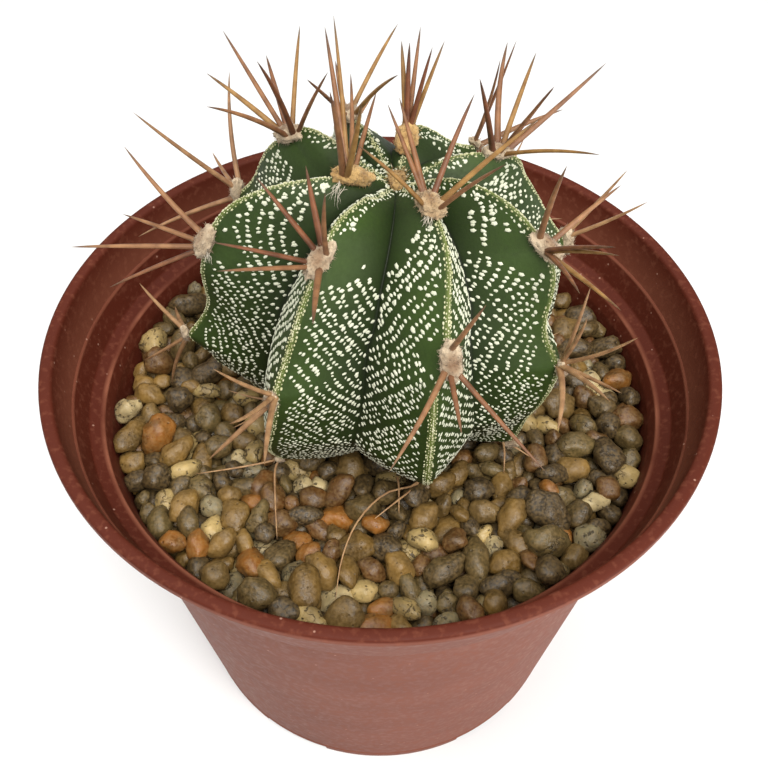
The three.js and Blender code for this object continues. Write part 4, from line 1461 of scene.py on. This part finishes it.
def chain(first, count):
    """Edges that join points in a row."""
    return [(first + i, first + i + 1) for i in range(count - 1)]


def spine_root(areole, direction):
    """A place on the pad, on the side that the spine leans to, and a little below its middle."""
    outwards, up = areole["out"], areole["up"]
    beside = np.cross(up, outwards)
    side = unit(direction - direction.dot(outwards) * outwards)
    spread = ROOT_SPREAD[0] * side.dot(up) * up + ROOT_SPREAD[1] * side.dot(beside) * beside
    return areole["centre"] + areole["wool"] * spread - ROOT_DEPTH * outwards


def spine_bow(areole, direction, length, random):
    """How far the spine's middle bows out, and which way."""
    bow = areole["out"] - areole["out"].dot(direction) * direction
    bow = unit(bow + random.normal(0, BOW_WOBBLE, 3))
    return bow * SPINE_BOW * length * random.uniform(*BOW_SPREAD)


def make_spine_lines():
    """One chain of edges for each spine, with its thickness, tone and bow at every point."""
    random = np.random.default_rng(SPINE_SEED)
    points, edges, notes = [], [], []

    def add_line(line, thick, tone, straw, bow):
        edges.extend(chain(len(points), len(line)))
        points.extend(line)
        notes.extend([(thick, tone, straw, *bow)] * len(line))

    for areole in AREOLES:
        node = areole["node"]
        if node in STRAW_AREOLES:
            continue
        small = areole["size"] < 1
        dry = SMALL_DRYNESS if small else np.interp(areole["down"], *DRY_BY_DOWN)
        for order, tip in enumerate(SPINE_TIPS[node]):
            if order in TIPS_LEFT_OUT.get(node, ()):
                continue
            arm = tip - areole["centre"]
            length = np.linalg.norm(arm)
            root = spine_root(areole, arm / length)
            bow = spine_bow(areole, arm / length, length, random)
            thick = THICKNESS["small" if small else "large"] * random.uniform(*THICKNESS_SPREAD)
            golden = order in GOLDEN.get(node, ())
            tone = TONES["gold"] if golden else random.uniform(*TONES["others"])
            add_line([root, tip], thick, tone, dry, bow)
    for line in STRAW_LINES:
        bends = [np.array(point, float) for point in line]
        add_line(bends, THICKNESS["straw"], TONES["straw"], 1.0, (0, 0, 0))
    thick, tone, straw, *bow = np.array(notes).T
    return make_mesh("spines", points, edges, thick=thick * MM, tone=tone, straw=straw,
                     bow=np.stack(bow, axis=1) * MM)


SPINE_LINES = make_spine_lines()
print("spines and straws:", len(SPINE_LINES.vertices) - len(SPINE_LINES.edges))

# %% The spines' tree: a bowed, tapering sweep
TAPER = [(0.0, 1.25), (0.035, 1.12), (0.09, 0.97), (0.5, 0.77), (0.82, 0.46), (0.95, 0.2), (1.0, 0.03)]


def make_spine_tree():
    tree, given = start_tree("Spines", {"Steps": 16, "Sides": 8, "Flatness": 0.8})
    lines = add_node(tree, "GeometryNodeMeshToCurve", {0: given["Geometry"]}).outputs[0]
    smooth = add_node(tree, "GeometryNodeCurveSplineType", {0: lines}, spline_type="CATMULL_ROM")
    sockets = {0: smooth.outputs[0], "Count": given["Steps"]}
    fine = add_node(tree, "GeometryNodeResampleCurve", sockets).outputs[0]
    along = add_node(tree, "GeometryNodeSplineParameter").outputs["Factor"]
    noted = with_attribute(tree, fine, "along", along)
    left = calculate(tree, "SUBTRACT", 1.0, along)
    arch = calculate(tree, "MULTIPLY", calculate(tree, "MULTIPLY", along, left), 4)
    bow = scale_vector(tree, named(tree, "bow", "FLOAT_VECTOR"), arch)
    bowed = add_node(tree, "GeometryNodeSetPosition", {0: noted, "Offset": bow}).outputs[0]
    taper = add_node(tree, "ShaderNodeFloatCurve", {"Value": along})
    curve = taper.mapping.curves[0]
    taper.mapping.clip_max_y = 2
    for i, (x, y) in enumerate(TAPER):
        if i < 2:
            curve.points[i].location = (x, y)
        else:
            curve.points.new(x, y)
    taper.mapping.update()
    radius = calculate(tree, "MULTIPLY", taper.outputs[0], named(tree, "thick"))
    sockets = {"Resolution": given["Sides"], "Radius": 1.0}
    circle = add_node(tree, "GeometryNodeCurvePrimitiveCircle", sockets).outputs[0]
    oval = add_node(tree, "ShaderNodeCombineXYZ", {0: 1.0, 1: given["Flatness"], 2: 1.0}).outputs[0]
    section = add_node(tree, "GeometryNodeTransform", {0: circle, "Scale": oval}).outputs[0]
    sockets = {0: bowed, 1: section, "Scale": radius, "Fill Caps": True}
    swept = add_node(tree, "GeometryNodeCurveToMesh", sockets).outputs[0]
    end_tree(tree, swept, given["Material"])
    return tree


SPINE_TREE = make_spine_tree()
print("the spines' tree has", len(SPINE_TREE.nodes), "nodes")

# %% The spines' material and mesh
RED_HORN = (srgb(84, 49, 32), srgb(120, 72, 46))
BROWN_HORN = (srgb(108, 72, 48), srgb(146, 104, 70))
GOLD_HORN = (srgb(120, 86, 46), srgb(158, 122, 70))
DRY_HORN = (srgb(142, 108, 76), srgb(188, 152, 112))
SPINE_FOOT = srgb(74, 44, 34)
SPINE_TIP = srgb(60, 47, 40)
HORN_DEPTHS = (1.0, 0.5, 0.25)


def spine_paint():
    paint = Paint("horny spines", Roughness=0.45, Specular_IOR_Level=0.35, Subsurface_Weight=0.05,
                  Subsurface_Scale=0.001)
    paint.shader.inputs["Subsurface Radius"].default_value = HORN_DEPTHS
    along, tone, straw = (paint.attribute(name) for name in ("along", "tone", "straw"))
    bands = paint.effect(MOTTLE, Scale=420, Detail=2, Contrast=2.4)
    red, brown, gold, dry = (paint.mix(bands, *horn)
                             for horn in (RED_HORN, BROWN_HORN, GOLD_HORN, DRY_HORN))
    color = paint.mix(paint.range(tone, 0.3, 0.45), red, brown)
    color = paint.mix(paint.range(tone, 0.68, 0.8), color, gold)
    color = paint.mix(paint.range(along, 0.3, 0.0, 0, 0.5), color, SPINE_FOOT)
    color = paint.mix(paint.range(along, 0.75, 0.96, 0, 0.8), color, SPINE_TIP)
    paint.set("Base Color", paint.mix(straw, color, dry))
    paint.bump(paint.effect(GRAIN, Scale=1600), 0.0001, 0.6)
    return paint.material


spine_mesh = grow(SPINE_TREE, SPINE_LINES, {"Material": spine_paint()})
finish_piece("areole_spines", spine_mesh, "wool", *[areole["node"] for areole in AREOLES])

# %% [markdown]
# ### Loose hairs
#
# A few long white hairs have come loose from the wool. The clearest tufts hang from the large pad
# at the left of the crown and from the one nearest the front. They are swept by the same tree as
# the spines, with hardly any thickness, along lines that first stand out and then sink.

# %% Hairs that hang from the wool
HAIR_SEED = 23
HAIR_TUFTS = [
    {"node": "areole_left_1", "side": (-0.6, -0.8, 0.0), "from": 3.0, "length": 4.5, "count": 14},
    {"node": "areole_front_right_1", "side": (-0.1, -1.0, -0.2), "from": 2.2, "length": 2.6,
     "count": 16},
    {"node": "areole_left_2", "side": (0.3, -0.8, -0.6), "from": 2.0, "length": 1.8, "count": 12},
]
HAIR_POINTS = 5
HAIR_THICKNESS = 0.05
HAIR_WOBBLE = {"way": 0.22, "root": 0.16, "bend": 0.3}
HAIR_SINK = np.array([0, 0, -0.45])
HAIR_STEP = (0.6, 1.1)
HAIR_COLOR = srgb(214, 206, 190)


def make_hair_lines():
    random = np.random.default_rng(HAIR_SEED)
    points, edges = [], []
    for tuft in HAIR_TUFTS:
        areole = next(areole for areole in AREOLES if areole["node"] == tuft["node"])
        side = unit(np.array(tuft["side"]))
        for _ in range(tuft["count"]):
            way = unit(side + random.normal(0, HAIR_WOBBLE["way"], 3))
            root = side + random.normal(0, HAIR_WOBBLE["root"], 3)
            place = areole["centre"] + tuft["from"] * root
            edges.extend(chain(len(points), HAIR_POINTS))
            for _ in range(HAIR_POINTS):
                points.append(place)
                way = unit(way + HAIR_SINK + random.normal(0, HAIR_WOBBLE["bend"], 3))
                step = tuft["length"] / (HAIR_POINTS - 1) * random.uniform(*HAIR_STEP)
                place = place + way * step
    count = len(points)
    thick = np.full(count, HAIR_THICKNESS * MM)
    return make_mesh("loose hairs", points, edges, thick=thick, tone=np.zeros(count),
                     straw=np.zeros(count), bow=np.zeros((count, 3)))


hair_paint = Paint("loose wool", Roughness=0.7)
hair_paint.shader.inputs["Base Color"].default_value = (*HAIR_COLOR, 1)
hair_sizes = {"Steps": 9, "Sides": 4, "Material": hair_paint.material}
finish_piece("loose_hairs", grow(SPINE_TREE, make_hair_lines(), hair_sizes), "wool")

# %% [markdown]
# ## The pebbles
#
# The pebbles lie loose on the soil, so they are settled rather than placed. Balls of mixed sizes
# sink a little at each step and push one another apart, away from the pot's wall, the soil and the
# stem, until they lie still. It is a small physics solver in a loop, and its draw is seeded, so
# that every run gives the same bed.

# %% Sizes of the bed, and the stem's reach
PEBBLE_SEED = 9
PEBBLE_COUNT = 780
PEBBLES_AT_WALL = 170
PEBBLE_RADIUS = (1.5, 4.1)
SOIL_TOP = 80.3
PEBBLE_LEVEL = 89.2
LEVEL_MARGIN = 1
WALL_RISE = 2.4
WALL_RISE_RING = (40, 56)
SETTLE_STEPS = 260
ROUNDS_PER_STEP = 2
SINK = 0.12
SIZE_MIX = (1.8, 3.0)
START_RING = (14, 55)
WALL_RING = (48, 57)
START_HEIGHTS = (82, 96)
PACKING = 0.94
PUSH_SHARE = 0.45
LONGEST_PUSH = 1
FLAT_SHARE = 0.8
WALL_TOUCH = {"gap": 0.2, "share": 0.92}
STEM_TOUCH = {"above": 0.7, "share": 0.85}
TABLE_HEIGHTS = np.arange(80, 100, 1.0)
TABLE_DEGREES = 2


def compass_bin(offsets):
    """Which sector of TABLE_DEGREES each offset from the stem's axis lies in."""
    degrees = np.degrees(np.arctan2(offsets[:, 1], offsets[:, 0])) % 360
    return (degrees // TABLE_DEGREES).astype(int)


def stem_radius_table():
    """How far the stem stands out from its axis, by direction and height near the pebbles."""
    table = np.full((360 // TABLE_DEGREES, len(TABLE_HEIGHTS)), NECK[0], dtype=float)
    shares = np.linspace(-1, 1, 61)
    downs = np.linspace(60, PROFILE_LENGTH, 160)
    for rib in range(RIB_COUNT):
        points = skin(rib, shares[None, :], downs[:, None]).reshape(-1, 3) - [*STEM_AXIS, 0]
        level = np.floor(points[:, 2] - TABLE_HEIGHTS[0]).astype(int)
        inside = (level >= 0) & (level < len(TABLE_HEIGHTS))
        points, level = points[inside], level[inside]
        reach = np.hypot(points[:, 0], points[:, 1])
        np.maximum.at(table, (compass_bin(points), level), reach)
    return table


STEM_TABLE = stem_radius_table()
print("the stem's reach near the pebbles in mm:", STEM_TABLE.max(axis=0).round(1))

# %% Drop the pebbles


def drop_pebbles(random):
    """Where the pebbles start, and their radii. The last ones start near the wall."""
    count = PEBBLE_COUNT + PEBBLES_AT_WALL
    smallest, largest = PEBBLE_RADIUS
    radius = smallest + (largest - smallest) * random.beta(*SIZE_MIX, count)
    angle = random.uniform(0, math.tau, count)
    distance = np.sqrt(random.uniform(START_RING[0] ** 2, START_RING[1] ** 2, count))
    distance[PEBBLE_COUNT:] = random.uniform(*WALL_RING, PEBBLES_AT_WALL)
    height = random.uniform(*START_HEIGHTS, count)
    place = np.stack([distance * np.cos(angle), distance * np.sin(angle), height], axis=1)
    return place, radius


# %% Let the pebbles settle


def push_apart(place, touching):
    """Each pebble moved away from the pebbles that it overlaps."""
    arms = place[:, None, :] - place[None, :, :]
    apart = np.sqrt((arms ** 2).sum(axis=2)) + np.eye(len(place)) * 1e3
    overlap = np.clip(PACKING * touching - apart, 0, None)
    moves = (arms / apart[..., None] * (PUSH_SHARE * overlap)[..., None]).sum(axis=1)
    place += moves.clip(-LONGEST_PUSH, LONGEST_PUSH)


def keep_inside(place, radius):
    """Pebbles held between the soil and their level, inside the wall and outside the stem."""
    out = np.hypot(place[:, 0], place[:, 1])
    level = PEBBLE_LEVEL + LEVEL_MARGIN + WALL_RISE * smoothstep(out, *WALL_RISE_RING)
    half = FLAT_SHARE * radius
    place[:, 2] = place[:, 2].clip(SOIL_TOP + half, level - half)
    wall = pot_inside(place[:, 2]) - WALL_TOUCH["gap"] - WALL_TOUCH["share"] * radius
    place[:, :2] *= np.minimum(1, wall / out)[:, None]
    offset = place[:, :2] - STEM_AXIS
    reach = np.hypot(offset[:, 0], offset[:, 1])
    row = place[:, 2] + STEM_TOUCH["above"] * radius - TABLE_HEIGHTS[0]
    row = np.clip(row, 0, len(TABLE_HEIGHTS) - 1).astype(int)
    least = STEM_TABLE[compass_bin(offset), row] + STEM_TOUCH["share"] * radius
    place[:, :2] = STEM_AXIS + offset * np.maximum(1, least / reach)[:, None]


def settle_pebbles():
    place, radius = drop_pebbles(np.random.default_rng(PEBBLE_SEED))
    touching = radius[:, None] + radius[None, :]
    for _ in range(SETTLE_STEPS):
        place[:, 2] -= SINK
        for _ in range(ROUNDS_PER_STEP):
            push_apart(place, touching)
            keep_inside(place, radius)
    return place, radius


PEBBLE_PLACES, PEBBLE_RADII = settle_pebbles()
tops = PEBBLE_PLACES[:, 2] + PEBBLE_RADII
print("pebble tops in mm:", np.percentile(tops, [5, 50, 95, 100]).round(1))

# %% [markdown]
# ### Pebble shapes
#
# A tree puts a ball on each settled point, flattened and turned its own way, and pushes its
# surface in and out with noise, so that every pebble has a shape of its own. Pebbles on top get a
# fine ball, and those below, which show only through gaps, get a coarse one.

# %% A ball on every pebble's place
FINE_BALL = 3
COARSE_BALL = 2


def pebble_balls(tree, given):
    """A fine ball on each pebble that shows, and a coarse one on the rest."""
    noted = with_attribute(tree, given["Geometry"], "centre", position_of(tree), "FLOAT_VECTOR")
    fine = named(tree, "fine", "BOOLEAN")
    coarse = add_node(tree, "FunctionNodeBooleanMath", {0: fine}, operation="NOT").outputs[0]
    angles = named(tree, "turn", "FLOAT_VECTOR")
    turn = add_node(tree, "FunctionNodeEulerToRotation", {0: angles}).outputs[0]
    layers = []
    for detail, chosen in ((COARSE_BALL, coarse), (FINE_BALL, fine)):
        sockets = {"Radius": 1.0, "Subdivisions": detail}
        ball = add_node(tree, "GeometryNodeMeshIcoSphere", sockets).outputs[0]
        sockets = {"Points": noted, "Selection": chosen, "Instance": ball, "Rotation": turn,
                   "Scale": named(tree, "halves", "FLOAT_VECTOR")}
        layers.append(add_node(tree, "GeometryNodeInstanceOnPoints", sockets).outputs[0])
    return make_real(tree, join_all(tree, *layers))


# %% The pebbles' tree
NOISE_APART = 90.0
FACETS_APART = 70.0
DENT_NOISE = {"Scale": 1.1, "Detail": 1}
FACET_LEVEL = 0.22
FACET_SMOOTHNESS = 0.12


def make_pebble_tree():
    tree, given = start_tree("River Pebbles", {
        "Lumpiness": 0.4, "Lump Scale": 0.45, "Dents": 0.16, "Facets": 0.36, "Facet Scale": 1.15,
    })
    balls = pebble_balls(tree, given)
    arm = arm_from_centre(tree)
    shift = scale_vector(tree, (1.0, 1.0, 1.0), named(tree, "pick"))
    local = scale_vector(tree, arm, 1 / MM)
    local = calculate_vector(tree, "ADD", local, scale_vector(tree, shift, NOISE_APART))
    sockets = {"Vector": local, "Scale": given["Lump Scale"], "Detail": 0}
    lumps = add_node(tree, "ShaderNodeTexNoise", sockets).outputs[0]
    dents = add_node(tree, "ShaderNodeTexNoise", {"Vector": local, **DENT_NOISE}).outputs[0]
    facing = calculate_vector(tree, "NORMALIZE", arm)
    facing = calculate_vector(tree, "ADD", facing, scale_vector(tree, shift, FACETS_APART))
    sockets = {"Vector": facing, "Scale": given["Facet Scale"], "Smoothness": FACET_SMOOTHNESS}
    cells = add_node(tree, "ShaderNodeTexVoronoi", sockets, feature="SMOOTH_F1").outputs["Distance"]
    facets = calculate(tree, "MULTIPLY", cells, cells)
    facets = calculate(tree, "SUBTRACT", facets, FACET_LEVEL)
    push = calculate(tree, "SUBTRACT", lumps, 0.5)
    push = calculate(tree, "MULTIPLY", push, given["Lumpiness"])
    push = calculate(tree, "MULTIPLY_ADD", facets, given["Facets"], push)
    dents = calculate(tree, "SUBTRACT", dents, 0.5)
    push = calculate(tree, "MULTIPLY_ADD", dents, given["Dents"], push)
    end_tree(tree, push_out(tree, balls, push), given["Material"])
    return tree


PEBBLE_TREE = make_pebble_tree()
print("the pebbles' tree has", len(PEBBLE_TREE.nodes), "nodes")

# %% [markdown]
# ### Pebble colours
#
# River gravel is a mix of stones: tan, olive grey, brown, amber, and a few cream ones with dark
# pits. Each pebble carries one random number, and a colour ramp turns it into a stone. Soft clouds,
# fine grain and pits vary the colour within a stone, and wet-worn stones shine a little.

# %% The pebbles' material
STONES = [
    (0.0, (108, 86, 47)), (0.1, (82, 69, 40)), (0.19, (54, 45, 31)), (0.28, (108, 82, 36)),
    (0.36, (70, 59, 36)), (0.44, (134, 104, 52)), (0.52, (98, 61, 27)), (0.6, (146, 90, 30)),
    (0.66, (50, 43, 33)), (0.74, (92, 80, 48)), (0.82, (188, 164, 108)), (0.9, (132, 124, 96)),
    (0.96, (204, 186, 140)),
]
STONE_SHADE = srgb(41, 32, 19)
STONE_GLINT = srgb(178, 146, 90)
STONE_PIT = srgb(36, 27, 18)


def pebble_paint():
    paint = Paint("river stones", Roughness=0.5)
    pick = paint.attribute("pick")
    ramp = add_node(paint.tree, "ShaderNodeValToRGB", {0: pick})
    ramp.color_ramp.interpolation = "CONSTANT"
    stops = ramp.color_ramp.elements
    for i, (position, color) in enumerate(STONES):
        stop = stops[i] if i < 2 else stops.new(position)
        stop.position = position
        stop.color = (*srgb(*color), 1)
    clouds = paint.effect(MOTTLE, Scale=230, Detail=5, Contrast=3)
    stone = paint.mix(paint.range(clouds, 0, 1, 0, 0.66), ramp.outputs[0], STONE_SHADE)
    fine = paint.effect(MOTTLE, Scale=1500, Detail=3, Contrast=3)
    stone = paint.mix(paint.times(fine, 0.24), stone, STONE_GLINT)
    pitted = paint.range(pick, 0.8, 0.82)
    pits = paint.range(paint.effect(MOTTLE, Scale=900, Detail=2, Contrast=2), 0.72, 0.85)
    few = paint.effect(SPECKS, Scale=1100, Size=0.32, Share=0.12)
    winding = paint.effect(MOTTLE, Scale=330, Detail=4, Contrast=1)
    off_line = calculate(paint.tree, "ABSOLUTE", calculate(paint.tree, "SUBTRACT", winding, 0.5))
    cracks = paint.times(paint.range(off_line, 0.02, 0.006), paint.range(clouds, 0.45, 0.75))
    cracked = paint.times(cracks, paint.range(pick, 0.6, 0.9, 0.12, 1))
    dark = calculate(paint.tree, "MAXIMUM", paint.times(pits, pitted), paint.times(few, 0.5))
    dark = calculate(paint.tree, "MAXIMUM", dark, cracked)
    paint.set("Base Color", paint.mix(paint.times(dark, 0.8), stone, STONE_PIT))
    paint.set("Roughness", paint.range(fine, 0, 1, 0.3, 0.52))
    height = calculate(paint.tree, "SUBTRACT", paint.effect(GRAIN, Scale=1100), dark)
    paint.bump(height, 0.00022, 0.9)
    return paint.material


# %% The pebbles' mesh
TOP_LAYER = 87.0
WALL_GAP = 0.1
LONG_SHARES = (1.0, 1.5)
FLAT_SHARES = (0.68, 0.95)
TILT = 0.4


def press_in(mesh):
    """Points that lumps push through the pot's wall are drawn back to it."""
    points = points_of(mesh)
    out = np.hypot(points[:, 0], points[:, 1])
    limit = pot_inside(points[:, 2]) - WALL_GAP
    points[:, :2] *= np.minimum(1, limit / np.maximum(out, 1))[:, None]
    mesh.vertices.foreach_set("co", (points * MM).ravel())
    print("pebble points pressed in by the wall:", (out > limit).sum())


def make_pebbles():
    random = np.random.default_rng(PEBBLE_SEED + 1)
    count = len(PEBBLE_RADII)
    long = random.uniform(*LONG_SHARES, count)
    flat = random.uniform(*FLAT_SHARES, count)
    halves = PEBBLE_RADII[:, None] * np.stack([long, 1 / np.sqrt(long), flat], axis=1)
    turn = np.stack([random.normal(0, TILT, count), random.normal(0, TILT, count),
                     random.uniform(0, math.tau, count)], axis=1)
    start = make_mesh("pebbles", PEBBLE_PLACES, halves=halves * MM, turn=turn,
                      pick=random.random(count))
    shown = PEBBLE_PLACES[:, 2] + PEBBLE_RADII > TOP_LAYER
    start.attributes.new("fine", "BOOLEAN", "POINT").data.foreach_set("value", shown)
    mesh = grow(PEBBLE_TREE, start, {"Material": pebble_paint()})
    press_in(mesh)
    finish_piece("gravel_pebbles", mesh, "pebbles", "gravel")
    print(shown.sum(), "pebbles on top of", count)


make_pebbles()
